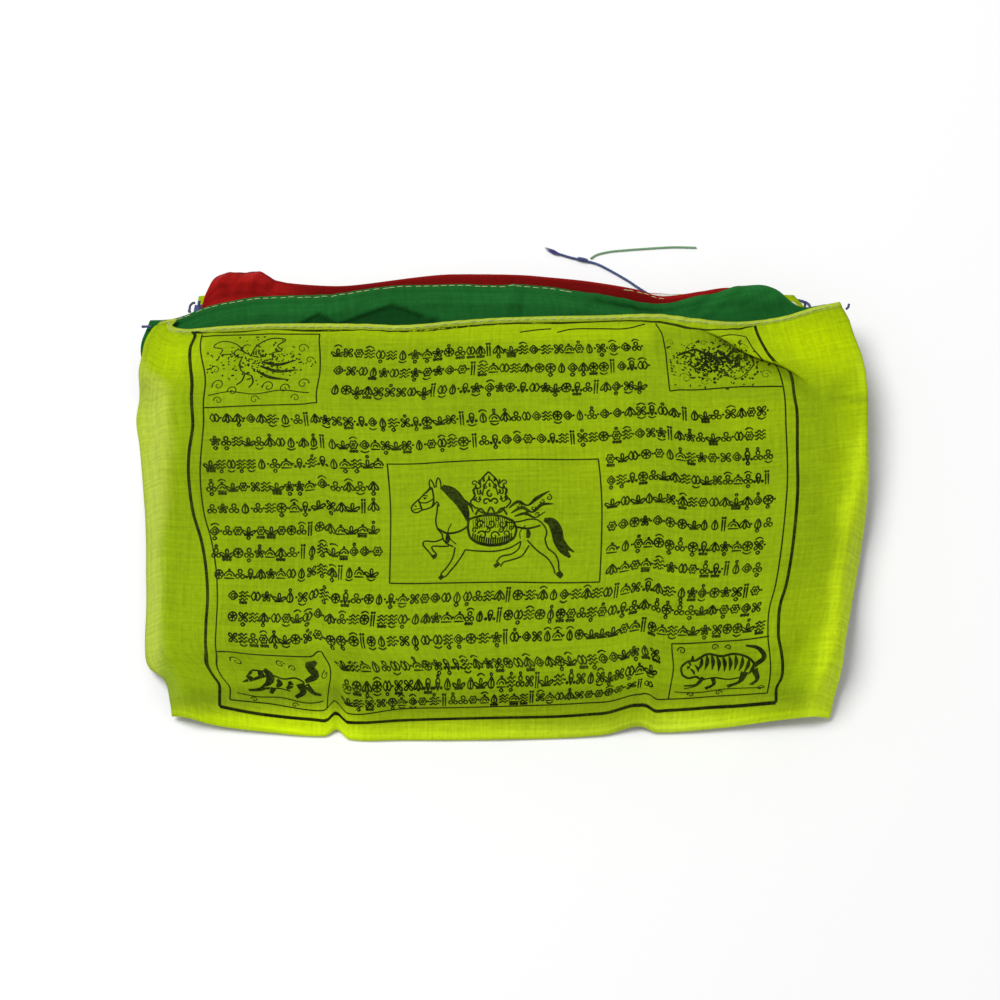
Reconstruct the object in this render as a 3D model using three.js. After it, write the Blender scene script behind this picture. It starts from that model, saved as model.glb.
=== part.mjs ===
// Pile of ten printed prayer flags on one string, folded flag upon flag as it lies on a table.
// Millimetres, +Z up, +X to the right of someone facing the front (bottom) edges, +Y to the headings.
import * as THREE from 'three';

// Cloth and string sizes
const cloth_thickness = 1.0;
const hem_thickness = 1.4;
const hem_depth = 6;
const string_diameter = 0.95;
const thread_diameter = 0.8;

// Where the middle of the pile's bounding box lies in the working plan
const plan_centre = { x: -0.6, y: 11.3 };

// Height between one flag and the next along the middle of the pile, from front to headings
const pitch_along_y = [
  { y: -76, pitch: 1.70 },
  { y: -62, pitch: 1.86 },
  { y: -50, pitch: 2.08 },
  { y: -25, pitch: 2.10 },
  { y: 20, pitch: 2.06 },
  { y: 55, pitch: 1.98 },
  { y: 78, pitch: 1.88 },
  { y: 104, pitch: 1.86 },
];

// How much that height falls towards the two sides
const pitch_loss_along_x = [
  { reach: 0, loss: 0.00 },
  { reach: 70, loss: 0.02 },
  { reach: 95, loss: 0.12 },
  { reach: 115, loss: 0.32 },
  { reach: 135, loss: 0.42 },
];

// How much of the side loss is left towards the headings, where the hems keep the flags apart
const side_loss_share = [
  { y: 40, share: 1.0 },
  { y: 80, share: 0.3 },
];

// Outline of the pile under the top flag: beyond it the top flag falls to the table
const pile_outline = [
  { y: -76, left: -102, right: 102 },
  { y: -62, left: -106, right: 106 },
  { y: -48, left: -112, right: 112 },
  { y: -15, left: -115, right: 117 },
  { y: 15, left: -117, right: 125 },
  { y: 42, left: -118, right: 130 },
  { y: 52, left: -121, right: 131 },
  { y: 58, left: -128, right: 131 },
  { y: 64, left: -131, right: 131 },
  { y: 90, left: -131, right: 131 },
];
const pile_front = -61.5;

// Share of the pile's height kept by the top flag at a distance beyond that outline
const fall_beyond_outline = [
  { beyond: 0, kept: 1.00 },
  { beyond: 1.5, kept: 0.97 },
  { beyond: 3.5, kept: 0.82 },
  { beyond: 5.5, kept: 0.58 },
  { beyond: 7.5, kept: 0.36 },
  { beyond: 9.5, kept: 0.20 },
  { beyond: 12, kept: 0.08 },
  { beyond: 16, kept: 0.03 },
  { beyond: 30, kept: 0.03 },
];

// Side edges of the top flag, from its front corners to its heading
const top_sides = [
  { y: -70, left: -112.0, right: 111.8 },
  { y: -64, left: -112.6, right: 113.0 },
  { y: -57, left: -114.6, right: 115.2 },
  { y: -51, left: -120.8, right: 116.6 },
  { y: -45, left: -122.6, right: 117.4 },
  { y: -30, left: -123.0, right: 121.0 },
  { y: -13, left: -124.1, right: 124.9 },
  { y: 2, left: -125.2, right: 127.7 },
  { y: 15, left: -127.0, right: 129.3 },
  { y: 34, left: -129.8, right: 129.9 },
  { y: 46, left: -131.9, right: 130.6 },
  { y: 56, left: -130.0, right: 130.5 },
  { y: 64, left: -128.9, right: 129.4 },
  { y: 69, left: -128.2, right: 128.1 },
  { y: 73, left: -126.6, right: 127.0 },
  { y: 76, left: -124.2, right: 126.3 },
  { y: 78, left: -120.0, right: 125.8 },
  { y: 85, left: -120.0, right: 122.7 },
];
const top_front_ends = { left: -112.3, right: 112.0 };
const top_heading_ends = { left: -120.0, right: 122.7 };

// Front edge of the top flag: two short creases pull it in
const top_front = [
  { x: -113, y: -68.0 },
  { x: -98, y: -71.4 },
  { x: -79, y: -73.6 },
  { x: -60, y: -74.8 },
  { x: -56, y: -72.6 },
  { x: -52, y: -75.9 },
  { x: -34, y: -76.2 },
  { x: 0, y: -76.0 },
  { x: 34, y: -74.6 },
  { x: 47, y: -71.8 },
  { x: 53, y: -73.6 },
  { x: 76, y: -72.2 },
  { x: 95, y: -70.2 },
  { x: 112, y: -68.7 },
];

// Heading edges that show behind one another
const top_heading = [
  { x: -120, y: 77.9 },
  { x: -117, y: 78.2 },
  { x: -114.5, y: 75.8 },
  { x: -109, y: 74.1 },
  { x: -95, y: 74.8 },
  { x: -73, y: 75.5 },
  { x: -45, y: 75.4 },
  { x: -36, y: 74.9 },
  { x: -27, y: 75.3 },
  { x: -17, y: 76.7 },
  { x: 0, y: 78.2 },
  { x: 26, y: 78.8 },
  { x: 55, y: 79.5 },
  { x: 65, y: 77.2 },
  { x: 83, y: 76.4 },
  { x: 99, y: 78.8 },
  { x: 113, y: 83.0 },
  { x: 123, y: 85.1 },
];
const green_heading = [
  { x: -127, y: 78.7 },
  { x: -120, y: 79.0 },
  { x: -115, y: 80.4 },
  { x: -107, y: 84.0 },
  { x: -96, y: 86.7 },
  { x: -88, y: 88.0 },
  { x: -62, y: 88.9 },
  { x: -53, y: 90.4 },
  { x: -44, y: 91.9 },
  { x: -35, y: 92.8 },
  { x: 8, y: 92.7 },
  { x: 17, y: 92.3 },
  { x: 26, y: 90.7 },
  { x: 44, y: 87.5 },
  { x: 52, y: 85.5 },
  { x: 61, y: 85.4 },
  { x: 72, y: 88.0 },
  { x: 80, y: 89.2 },
  { x: 86, y: 90.9 },
  { x: 95, y: 91.9 },
  { x: 101, y: 89.2 },
  { x: 108, y: 83.9 },
  { x: 118, y: 85.2 },
];
const red_heading = [
  { x: -107.7, y: 90.0 },
  { x: -106.6, y: 92.4 },
  { x: -104.4, y: 95.8 },
  { x: -100.4, y: 97.7 },
  { x: -94, y: 98.5 },
  { x: -88, y: 98.3 },
  { x: -83, y: 96.0 },
  { x: -77, y: 94.6 },
  { x: -62, y: 93.4 },
  { x: -53, y: 93.8 },
  { x: -30, y: 97.3 },
  { x: -18, y: 98.4 },
  { x: 6, y: 98.3 },
  { x: 19, y: 97.1 },
  { x: 33, y: 95.4 },
  { x: 49, y: 92.3 },
  { x: 57, y: 89.5 },
  { x: 63, y: 89.6 },
  { x: 73, y: 91.3 },
  { x: 83, y: 92.8 },
  { x: 91, y: 90.6 },
  { x: 104, y: 85.4 },
];

// Left side edge of the upper green flag, whose corner juts out past the top flag
const green_left = [
  { y: 30, left: -114.5 },
  { y: 44, left: -115.5 },
  { y: 51, left: -118.5 },
  { y: 56, left: -124.0 },
  { y: 60, left: -128.0 },
  { y: 65, left: -129.6 },
  { y: 70, left: -129.6 },
  { y: 75, left: -128.2 },
  { y: 79, left: -126.9 },
];

// Lower flags, from the top of the pile down. The level counts from the table.
// wave is the height of the heading's slow bends, phase where they start, left_end and right_end
// are the x of the heading's two ends.
const lower_flags = [
  { name: 'flag_green_upper', level: 8, colour: 0x1f7a3a, heading: green_heading, left_end: -127, right_end: 118,
    front: -59.4, back: 0, wave: 0, phase: 0, left: 0, right: 0, columns: 30, rows: 13 },
  { name: 'flag_red_upper', level: 7, colour: 0x9c1f1c, heading: red_heading, left_end: -107.7, right_end: 104,
    front: -60.4, back: 0, wave: 0, phase: 0, left: 1.0, right: -1.5, columns: 30, rows: 12 },
  { name: 'flag_white_upper', level: 6, colour: 0xdcdccf, heading: null, left_end: -104, right_end: 107,
    front: -61.4, back: 91.4, wave: 0.9, phase: 0.4, left: 1.6, right: -0.6, columns: 16, rows: 9 },
  { name: 'flag_blue_upper', level: 5, colour: 0x3c4a86, heading: null, left_end: -112, right_end: 106,
    front: -62.6, back: 91.9, wave: 0.8, phase: 2.1, left: 0.6, right: -2.0, columns: 16, rows: 9 },
  { name: 'flag_yellow_lower', level: 4, colour: 0x9dc41a, heading: null, left_end: -111, right_end: 107.5,
    front: -63.6, back: 95.4, wave: 1.4, phase: 3.6, left: 1.8, right: -1.0, columns: 16, rows: 9 },
  { name: 'flag_green_lower', level: 3, colour: 0x1f7a3a, heading: null, left_end: -104, right_end: 108,
    front: -64.8, back: 93.2, wave: 1.1, phase: 5.0, left: 0.2, right: -2.6, columns: 16, rows: 9 },
  { name: 'flag_red_lower', level: 2, colour: 0x9c1f1c, heading: null, left_end: -106, right_end: 106.5,
    front: -65.8, back: 96.0, wave: 1.3, phase: 0.9, left: 2.2, right: -0.4, columns: 16, rows: 9 },
  { name: 'flag_white_lower', level: 1, colour: 0xdcdccf, heading: null, left_end: -103.5, right_end: 107,
    front: -66.8, back: 93.8, wave: 0.9, phase: 2.8, left: 1.0, right: -1.8, columns: 16, rows: 9 },
  { name: 'flag_blue_lower', level: 0, colour: 0x3c4a86, heading: null, left_end: -105, right_end: 108,
    front: -67.8, back: 95.0, wave: 1.2, phase: 4.3, left: 1.4, right: -1.2, columns: 16, rows: 9 },
];

// Side edges shared by the lower flags, as inset from the pile's outline
const lower_inset = 3.0;
const lower_front_ends = { left: -104, right: 104 };

// Soft ridges in the top flag: from one plan point to another, with height and half width
const top_ridges = [
  { x1: -55, y1: -66, x2: -50, y2: -12, height: 0.9, half_width: 6.0 },
  { x1: 48, y1: -66, x2: 43, y2: 4, height: 0.9, half_width: 6.0 },
  { x1: 66, y1: 78, x2: 84, y2: 66, height: 1.6, half_width: 5.0 },
  { x1: 84, y1: 66, x2: 116, y2: 50, height: 1.8, half_width: 5.5 },
  { x1: -97, y1: -8, x2: -92, y2: -54, height: 0.9, half_width: 7.0 },
  { x1: 100, y1: 8, x2: 92, y2: -50, height: 1.0, half_width: 7.0 },
  { x1: -114, y1: 60, x2: -108, y2: 20, height: 1.0, half_width: 6.0 },
  { x1: -70, y1: -52, x2: 70, y2: -53, height: 0.9, half_width: 9.0 },
];

// Soft folds in the strips of the next two flags that show behind the top flag
const green_ridges = [
  { x1: 4, y1: 84, x2: 7, y2: 93, height: 0.9, half_width: 4.5 },
  { x1: 70, y1: 84, x2: 80, y2: 89, height: 1.2, half_width: 5.0 },
  { x1: 86, y1: 88, x2: 98, y2: 88, height: 2.6, half_width: 5.5 },
  { x1: -26, y1: 86, x2: -14, y2: 91, height: 0.8, half_width: 4.5 },
];
const red_roll = { x1: -102, y1: 94, x2: -89, y2: 94.5, height: 3.4, half_width: 5.0 };

// Free end of the string: it leaves the bottom flag's right heading end, runs along behind the pile
// to the knot, and on from there to the tip
const tail_route = [
  { x: 114.3, y: 91.0, z: 0.56 },
  { x: 113.9, y: 93.4, z: 0.56 },
  { x: 111.0, y: 94.9, z: 0.56 },
  { x: 105.0, y: 95.4, z: 0.56 },
  { x: 96.0, y: 95.5, z: 0.56 },
  { x: 84.0, y: 95.5, z: 0.56 },
  { x: 72.0, y: 95.5, z: 0.56 },
  { x: 62.0, y: 95.6, z: 0.56 },
  { x: 56.5, y: 96.8, z: 0.56 },
  { x: 51.1, y: 100.3, z: 0.56 },
  { x: 47.4, y: 103.2, z: 0.56 },
  { x: 40.4, y: 107.9, z: 0.56 },
  { x: 36.3, y: 110.3, z: 0.56 },
  { x: 33.2, y: 111.4, z: 0.56 },
];
const end_route = [
  { x: 26.9, y: 113.05, z: 0.6 },
  { x: 24.6, y: 113.8, z: 0.56 },
  { x: 22.5, y: 114.6, z: 0.6 },
];
const tail_knot = { x: 29.9, y: 112.3, z: 1.0, long: 5.4, wide: 1.9, high: 1.9, turn: -0.24 };
const tail_tip = { x: 19.0, y: 116.0, z: 1.05, long: 6.4, wide: 2.0, high: 2.0, turn: -0.5 };
const thread_route = [
  { x: 33.5, y: 112.95, z: 0.5 },
  { x: 35.8, y: 114.6, z: 0.41 },
  { x: 40.5, y: 115.9, z: 0.41 },
  { x: 45.5, y: 116.5, z: 0.41 },
  { x: 54.9, y: 117.3, z: 0.41 },
  { x: 64.5, y: 117.9, z: 0.41 },
  { x: 73.1, y: 117.7, z: 0.41 },
];

// Value of one column of a table at a place along another, on a smooth curve through the rows
function along(table, key, place, column) {
  const last = table.length - 1;
  if (place <= table[0][key]) {
    return table[0][column];
  }
  if (place >= table[last][key]) {
    return table[last][column];
  }
  let row = 0;
  while (table[row + 1][key] < place) {
    row += 1;
  }
  const here = table[row];
  const next = table[row + 1];
  const before = table[Math.max(row - 1, 0)];
  const after = table[Math.min(row + 2, last)];
  const step = next[key] - here[key];
  const share = (place - here[key]) / step;
  const slope_in = (next[column] - before[column]) / (next[key] - before[key]) * step;
  const slope_out = (after[column] - here[column]) / (after[key] - here[key]) * step;
  const square = share * share;
  const cube = square * share;
  return (2 * cube - 3 * square + 1) * here[column] + (cube - 2 * square + share) * slope_in
    + (3 * square - 2 * cube) * next[column] + (cube - square) * slope_out;
}

// Height of a soft ridge over a plan point: a rounded hump around the line between two points
function ridge(row, x, y) {
  const dx = row.x2 - row.x1;
  const dy = row.y2 - row.y1;
  const share = Math.min(1, Math.max(0, ((x - row.x1) * dx + (y - row.y1) * dy) / (dx * dx + dy * dy)));
  const off = Math.hypot(x - row.x1 - share * dx, y - row.y1 - share * dy) / row.half_width;
  return row.height * Math.exp(-off * off);
}

function ridges(rows, x, y) {
  return rows.reduce((sum, row) => sum + ridge(row, x, y), 0);
}

// Height between one flag's underside and the next at a plan point
function pitch(x, y) {
  const middle = along(pitch_along_y, 'y', y, 'pitch');
  const loss = along(pitch_loss_along_x, 'reach', Math.abs(x), 'loss');
  const share = along(side_loss_share, 'y', y, 'share');
  const swell = 0.035 * Math.sin(x / 29 + 0.8) * Math.cos(y / 33 - 0.4);
  return middle - loss * share + swell;
}

// Underside of the top flag: on the pile, or falling to the table beyond its outline
function top_underside(x, y) {
  const left = along(pile_outline, 'y', y, 'left');
  const right = along(pile_outline, 'y', y, 'right');
  const aside = Math.max(0, left - x, x - right);
  const before = Math.max(0, pile_front - y);
  const beyond = Math.hypot(aside, before);
  const kept = along(fall_beyond_outline, 'beyond', beyond, 'kept');
  const inner_y = Math.max(y, pile_front - 2);
  return (9 * pitch(x, inner_y) + ridges(top_ridges, x, y)) * kept;
}

// Plan point of a place in a flag: across runs 0 to 1 from left to right, up 0 to 1 from the
// front edge to the heading
function plan_point(flag, across, up) {
  const front_x = flag.front_ends.left + (flag.front_ends.right - flag.front_ends.left) * across;
  const back_x = flag.heading_ends.left + (flag.heading_ends.right - flag.heading_ends.left) * across;
  const front_y = flag.front_edge(front_x);
  const back_y = flag.back_edge(back_x);
  const y = front_y + (back_y - front_y) * up;
  const left = flag.left_edge(y, up);
  const right = flag.right_edge(y, up);
  return { x: left + (right - left) * across, y };
}

// Rows of a flag's grid, as distance from the heading edge: the hem first, then the cloth
function row_places(length, rows) {
  const hem_rows = [0, 1.6, hem_depth - 1.4, hem_depth, hem_depth + 2.5];
  if (rows > 11) {
    hem_rows.push(hem_depth + 6);
  }
  const start = hem_rows[hem_rows.length - 1];
  const rest = rows - hem_rows.length + 1;
  const places = hem_rows.slice();
  for (let i = 1; i < rest; i += 1) {
    places.push(start + (length - start) * i / (rest - 1));
  }
  return places.map((place) => 1 - place / length).reverse();
}

// Extra thickness of the hem at a distance from the heading edge: a rounded band
function hem_swell(from_heading) {
  if (from_heading > hem_depth) {
    return 0;
  }
  const share = from_heading / hem_depth;
  return (hem_thickness - cloth_thickness) * Math.sin(Math.PI * Math.min(1, 0.18 + share * 0.82));
}

// Closed sheet of a flag: an underside grid, a top grid along its normals and a rim
function sheet_geometry(flag) {
  const ups = row_places(flag.length, flag.rows);
  const count_across = flag.columns;
  const count_up = ups.length;
  const positions = [];
  const heights = (x, y) => flag.underside(x, y);
  for (const side of [0, 1]) {
    for (let j = 0; j < count_up; j += 1) {
      for (let i = 0; i < count_across; i += 1) {
        const t = i / (count_across - 1);
        const across = t + 0.035 * Math.sin(2 * Math.PI * t) * -1;
        const p = plan_point(flag, across, ups[j]);
        const z = heights(p.x, p.y);
        if (side === 0) {
          positions.push(p.x, p.y, z);
        } else {
          const e = 0.5;
          const gx = (heights(p.x + e, p.y) - heights(p.x - e, p.y)) / (2 * e);
          const gy = (heights(p.x, p.y + e) - heights(p.x, p.y - e)) / (2 * e);
          const n = Math.hypot(gx, gy, 1);
          const from_heading = (1 - ups[j]) * flag.length;
          const thick = cloth_thickness + hem_swell(from_heading) + flag.roll(p.x, p.y);
          positions.push(p.x - gx / n * thick, p.y - gy / n * thick, z + thick / n);
        }
      }
    }
  }
  const index = [];
  const low = (i, j) => j * count_across + i;
  const high = (i, j) => count_across * count_up + low(i, j);
  for (let j = 0; j < count_up - 1; j += 1) {
    for (let i = 0; i < count_across - 1; i += 1) {
      index.push(low(i, j), low(i + 1, j + 1), low(i + 1, j), low(i, j), low(i, j + 1), low(i + 1, j + 1));
      index.push(high(i, j), high(i + 1, j), high(i + 1, j + 1));
      index.push(high(i, j), high(i + 1, j + 1), high(i, j + 1));
    }
  }
  const rim = [];
  for (let i = 0; i < count_across - 1; i += 1) {
    rim.push([i, 0]);
  }
  for (let j = 0; j < count_up - 1; j += 1) {
    rim.push([count_across - 1, j]);
  }
  for (let i = count_across - 1; i > 0; i -= 1) {
    rim.push([i, count_up - 1]);
  }
  for (let j = count_up - 1; j > 0; j -= 1) {
    rim.push([0, j]);
  }
  for (let k = 0; k < rim.length; k += 1) {
    const a = rim[k];
    const b = rim[(k + 1) % rim.length];
    index.push(low(a[0], a[1]), low(b[0], b[1]), high(b[0], b[1]));
    index.push(low(a[0], a[1]), high(b[0], b[1]), high(a[0], a[1]));
  }
  const geometry = new THREE.BufferGeometry();
  geometry.setAttribute('position', new THREE.Float32BufferAttribute(positions, 3));
  geometry.setIndex(index);
  return geometry;
}

// Tube along a smooth curve through plan points
function cord_geometry(points, diameter, spacing) {
  const curve = new THREE.CatmullRomCurve3(points.map((p) => new THREE.Vector3(p.x, p.y, p.z)), false, 'centripetal');
  const steps = Math.max(6, Math.round(curve.getLength() / spacing));
  const ring = [];
  for (let k = 0; k < 8; k += 1) {
    const angle = Math.PI * 2 * k / 8;
    ring.push(new THREE.Vector2(Math.cos(angle) * diameter / 2, Math.sin(angle) * diameter / 2));
  }
  return new THREE.ExtrudeGeometry(new THREE.Shape(ring), { steps, bevelEnabled: false, extrudePath: curve });
}

// Rounded lump of string or thread, long in the direction of the string
function lump_geometry(row) {
  const geometry = new THREE.SphereGeometry(0.5, 12, 8);
  geometry.rotateX(Math.PI / 2);
  geometry.scale(row.long, row.wide, row.high);
  geometry.rotateZ(row.turn);
  geometry.translate(row.x, row.y, row.z);
  return geometry;
}

const group = new THREE.Group();
group.name = 'prayer_flag_pile';

function add(name, geometry, colour, roughness) {
  geometry.translate(-plan_centre.x, -plan_centre.y, 0);
  const material = new THREE.MeshStandardMaterial({ color: colour, roughness, metalness: 0 });
  material.name = name.replace(/_(upper|lower|top)$/, '');
  const mesh = new THREE.Mesh(geometry, material);
  mesh.name = name;
  group.add(mesh);
}

const top_flag = {
  name: 'flag_yellow_top', level: 9, colour: 0xa6d010, columns: 40, rows: 29, length: 165,
  front_ends: top_front_ends,
  heading_ends: top_heading_ends,
  front_edge: (x) => along(top_front, 'x', x, 'y'),
  back_edge: (x) => along(top_heading, 'x', x, 'y'),
  left_edge: (y, up) => along(top_sides, 'y', y, 'left'),
  right_edge: (y, up) => along(top_sides, 'y', y, 'right'),
  underside: top_underside,
  roll: () => 0,
};

// A lower flag follows the pile's outline, drawn in to its heading ends
function lower_flag(row) {
  const relief = row.name === 'flag_green_upper' ? green_ridges : [];
  const rolled = row.name === 'flag_red_upper' ? [red_roll] : [];
  const bend = (x) => row.back + row.wave * Math.sin(x / 34 + row.phase) - (x / 108) * (x / 108) * 3.0;
  const back_edge = row.heading ? (x) => along(row.heading, 'x', x, 'y') : bend;
  const draw_in = (up) => Math.max(0, (up - 0.74) / 0.26) ** 1.6;
  return {
    ...row,
    length: 160,
    front_ends: lower_front_ends,
    heading_ends: { left: row.left_end, right: row.right_end },
    front_edge: (x) => row.front + 3.0 * Math.abs(x / 108) ** 4,
    back_edge,
    left_edge: (y, up) => {
      if (row.heading === green_heading && y > green_left[0].y) {
        return along(green_left, 'y', y, 'left');
      }
      const side = along(pile_outline, 'y', Math.min(y, 42), 'left') + lower_inset + row.left;
      return side + (row.left_end - side) * draw_in(up);
    },
    right_edge: (y, up) => {
      const side = along(pile_outline, 'y', y, 'right') - lower_inset + row.right;
      return side + (row.right_end - side) * draw_in(up);
    },
    underside: (x, y) => row.level * pitch(x, y) + ridges(relief, x, y) * Math.min(1, Math.max(0, (y - 81) / 4))
      + 0.45 * ridges(rolled, x, y) * Math.min(1, Math.max(0, (y - 88) / 5)),
    roll: (x, y) => 0.55 * ridges(rolled, x, y) * Math.min(1, Math.max(0, (y - 88) / 5)),
  };
}

const flags = [top_flag, ...lower_flags.map(lower_flag)];
for (const flag of flags) {
  add(flag.name, sheet_geometry(flag), flag.colour, 0.8);
}

// Middle of a heading's end face, where the string leaves the hem
function heading_end(flag, side) {
  const p = plan_point(flag, side > 0 ? 1 : 0, 1 - 3.0 / flag.length);
  return { x: p.x, y: p.y, z: flag.underside(p.x, p.y) + 0.7 };
}

// Short stretch of string from one flag's heading to the next one's, at alternate sides: it keeps
// each hem's height until it is past both ends, and turns there
function link_points(upper, lower, side) {
  const a = heading_end(upper, side);
  const b = heading_end(lower, side);
  const out = Math.max(a.x * side, b.x * side);
  const turn = out + 2.4;
  const past = (x) => Math.max(x * side + 1.7, out + 0.6);
  const at = (x, y, z) => ({ x: x * side, y, z });
  return [
    at(a.x * side + 0.95, a.y, a.z),
    at(past(a.x), a.y, a.z),
    at(turn, (a.y * 2 + b.y) / 3, (a.z * 2 + b.z) / 3),
    at(turn, (a.y + b.y * 2) / 3, (a.z + b.z * 2) / 3),
    at(past(b.x), b.y, b.z),
    at(b.x * side + 0.95, b.y, b.z),
  ];
}
for (let k = 0; k < flags.length - 1; k += 1) {
  const side = k % 2 === 0 ? -1 : 1;
  add('string_link_' + (k + 1), cord_geometry(link_points(flags[k], flags[k + 1], side), string_diameter, 1.6), 0x3f4468, 0.85);
}

// Cut end of the string at the top flag's right heading end
const stub = heading_end(top_flag, 1);
const stub_route = [
  { x: stub.x + 0.95, y: stub.y, z: stub.z },
  { x: stub.x + 1.7, y: stub.y + 0.7, z: stub.z + 0.1 },
  { x: stub.x + 2.1, y: stub.y + 2.0, z: stub.z + 0.2 },
];
add('string_stub', cord_geometry(stub_route, string_diameter, 1.6), 0x3f4468, 0.85);
const tail_start = heading_end(flags[flags.length - 1], 1);
const tail_points = [
  { x: tail_start.x + 0.75, y: tail_start.y, z: 0.62 },
  { x: tail_start.x + 2.2, y: tail_start.y, z: 0.6 },
  ...tail_route,
];
add('string_tail', cord_geometry(tail_points, string_diameter, 2.4), 0x3f4468, 0.85);
add('string_end', cord_geometry(end_route, string_diameter, 1.2), 0x3f4468, 0.85);
add('tail_tip', lump_geometry(tail_tip), 0x35305f, 0.9);
add('tail_knot', lump_geometry(tail_knot), 0x3f4468, 0.9);
add('thread_tail', cord_geometry(thread_route, thread_diameter, 2.0), 0x96b98c, 0.9);

export default group;
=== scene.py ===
"""A pile of ten printed prayer flags folded on one string, in metres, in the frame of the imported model."""

import math

import bpy
import numpy as np
from bpy.props import FloatProperty, FloatVectorProperty, PointerProperty
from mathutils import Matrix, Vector


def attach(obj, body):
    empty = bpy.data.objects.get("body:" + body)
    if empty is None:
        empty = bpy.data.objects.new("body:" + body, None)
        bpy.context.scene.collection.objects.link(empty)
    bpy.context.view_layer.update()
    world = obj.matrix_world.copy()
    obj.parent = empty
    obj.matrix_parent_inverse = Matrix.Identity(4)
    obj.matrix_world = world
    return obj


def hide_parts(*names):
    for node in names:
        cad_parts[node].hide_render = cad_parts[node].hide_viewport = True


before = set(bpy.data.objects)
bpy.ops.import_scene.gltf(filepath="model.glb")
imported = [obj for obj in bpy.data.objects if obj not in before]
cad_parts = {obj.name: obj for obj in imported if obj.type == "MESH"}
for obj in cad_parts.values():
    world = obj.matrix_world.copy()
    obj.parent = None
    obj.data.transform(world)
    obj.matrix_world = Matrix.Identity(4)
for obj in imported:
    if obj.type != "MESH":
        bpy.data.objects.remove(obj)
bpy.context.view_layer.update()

bl_info = {
    "name": "Prayer Flag Pile",
    "version": (1, 0, 0),
    "blender": (4, 5, 0),
    "location": "3D View > Sidebar > Prayer Flags",
    "description": "Builds a folded pile of printed prayer flags on one string",
    "category": "Add Mesh",
}

MM = 0.001
UPWARD = [0, 0, 1]
TINY = 1e-9


def rows(columns, values):
    """A short table: each named column as one array."""
    data = np.array(values, dtype=float)
    return {name: data[:, k] for k, name in enumerate(columns.split())}


def each(table):
    """The rows of a table one after the other."""
    return zip(*table.values())


def bell(distance, reach):
    """A bell: 1 at no distance, about a third at the reach and near 0 at twice the reach."""
    return np.exp(-(distance / reach)**2)


def past(distance, soft):
    """1 well past a bound, a half on it and 0 well before it, with a soft change."""
    return 1 / (1 + np.exp(-distance / soft))


def stacked(*values):
    """Arrays joined as the last axis of one array, such as x, y and z to points."""
    return np.stack(values, axis=-1)


def running(steps):
    """Sum of the steps up to each point, from zero."""
    return np.concatenate([[0], np.cumsum(steps)])


def lengths(vectors):
    """Length of each vector, kept as a last axis of one."""
    return np.linalg.norm(vectors, axis=-1, keepdims=True)


def cubic(u, start, end, slope_in, slope_out):
    """A cubic between two values with the slopes given at both, at shares u of the way."""
    return ((2 * u**3 - 3 * u**2 + 1) * start + (u**3 - 2 * u**2 + u) * slope_in
            + (3 * u**2 - 2 * u**3) * end + (u**3 - u**2) * slope_out)


# Sizes in millimetres: middle of the working plan, thickness of the CAD cloths, sizes of the flags,
# depth of the top hem, and where the string leaves a hem
CENTRE_X, CENTRE_Y = -0.6, 11.3
CAD_CLOTH = 1.0
CLOTH_WIDTH = 256.0
TOP_CLOTH_LENGTH = 165.0
LOWER_CLOTH_LENGTH = 160.0
TOP_HEM = 2.7
STRING_FROM_EDGE, STRING_RISE = 3.0, 0.7
STRING_START = 0.95

# Shape tables, in millimetres, in the plan of the working drawing
PITCH_ALONG = rows("y pitch", [
    (-76, 1.7), (-62, 1.86), (-50, 2.08), (-25, 2.1), (20, 2.06), (55, 1.98), (78, 1.88), (104, 1.86)])
PITCH_LOSS = rows("reach loss", [(0, 0), (70, 0.02), (95, 0.12), (115, 0.32), (135, 0.42)])
LOSS_SHARE = rows("y share", [(40, 1), (80, 0.3)])
PILE_OUTLINE = rows("y left right", [
    (-76, -102, 102), (-62, -106, 106), (-48, -112, 112), (-15, -115, 117), (15, -117, 125),
    (42, -118, 130), (52, -121, 131), (58, -128, 131), (64, -131, 131), (90, -131, 131)])
PILE_FRONT = -61.5
FALL = rows("beyond kept", [
    (0, 1), (1.5, 0.97), (3.5, 0.82), (5.5, 0.58), (7.5, 0.36), (9.5, 0.2), (12, 0.08), (16, 0.03),
    (30, 0.03)])
TOP_SIDES = rows("y left right", [
    (-70, -112, 111.8), (-64, -112.6, 113), (-57, -114.6, 115.2), (-51, -120.8, 116.6),
    (-45, -122.6, 117.4), (-30, -123, 121), (-13, -124.1, 124.9), (2, -125.2, 127.7),
    (15, -127, 129.3), (34, -129.8, 129.9), (46, -131.9, 130.6), (56, -130, 130.5),
    (64, -128.9, 129.4), (69, -128.2, 128.1), (73, -126.6, 127), (76, -124.2, 126.3),
    (78, -120, 125.8), (85, -120, 122.7)])
TOP_FRONT_ENDS = (-112.3, 112.0)
TOP_HEADING_ENDS = (-120.0, 122.7)
TOP_FRONT = rows("x y", [
    (-113, -68), (-98, -71.4), (-79, -73.6), (-60, -74.8), (-56, -72.6), (-52, -75.9), (-34, -76.2),
    (0, -76), (34, -74.6), (47, -71.8), (53, -73.6), (76, -72.2), (95, -70.2), (112, -68.7)])
TOP_HEADING = rows("x y", [
    (-120, 77.9), (-117, 78.2), (-114.5, 75.8), (-109, 74.1), (-95, 74.8), (-73, 75.5), (-45, 75.4),
    (-36, 74.9), (-27, 75.3), (-17, 76.7), (0, 78.2), (26, 78.8), (55, 79.5), (65, 77.2),
    (83, 76.4), (99, 78.8), (113, 83), (123, 85.1)])
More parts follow.
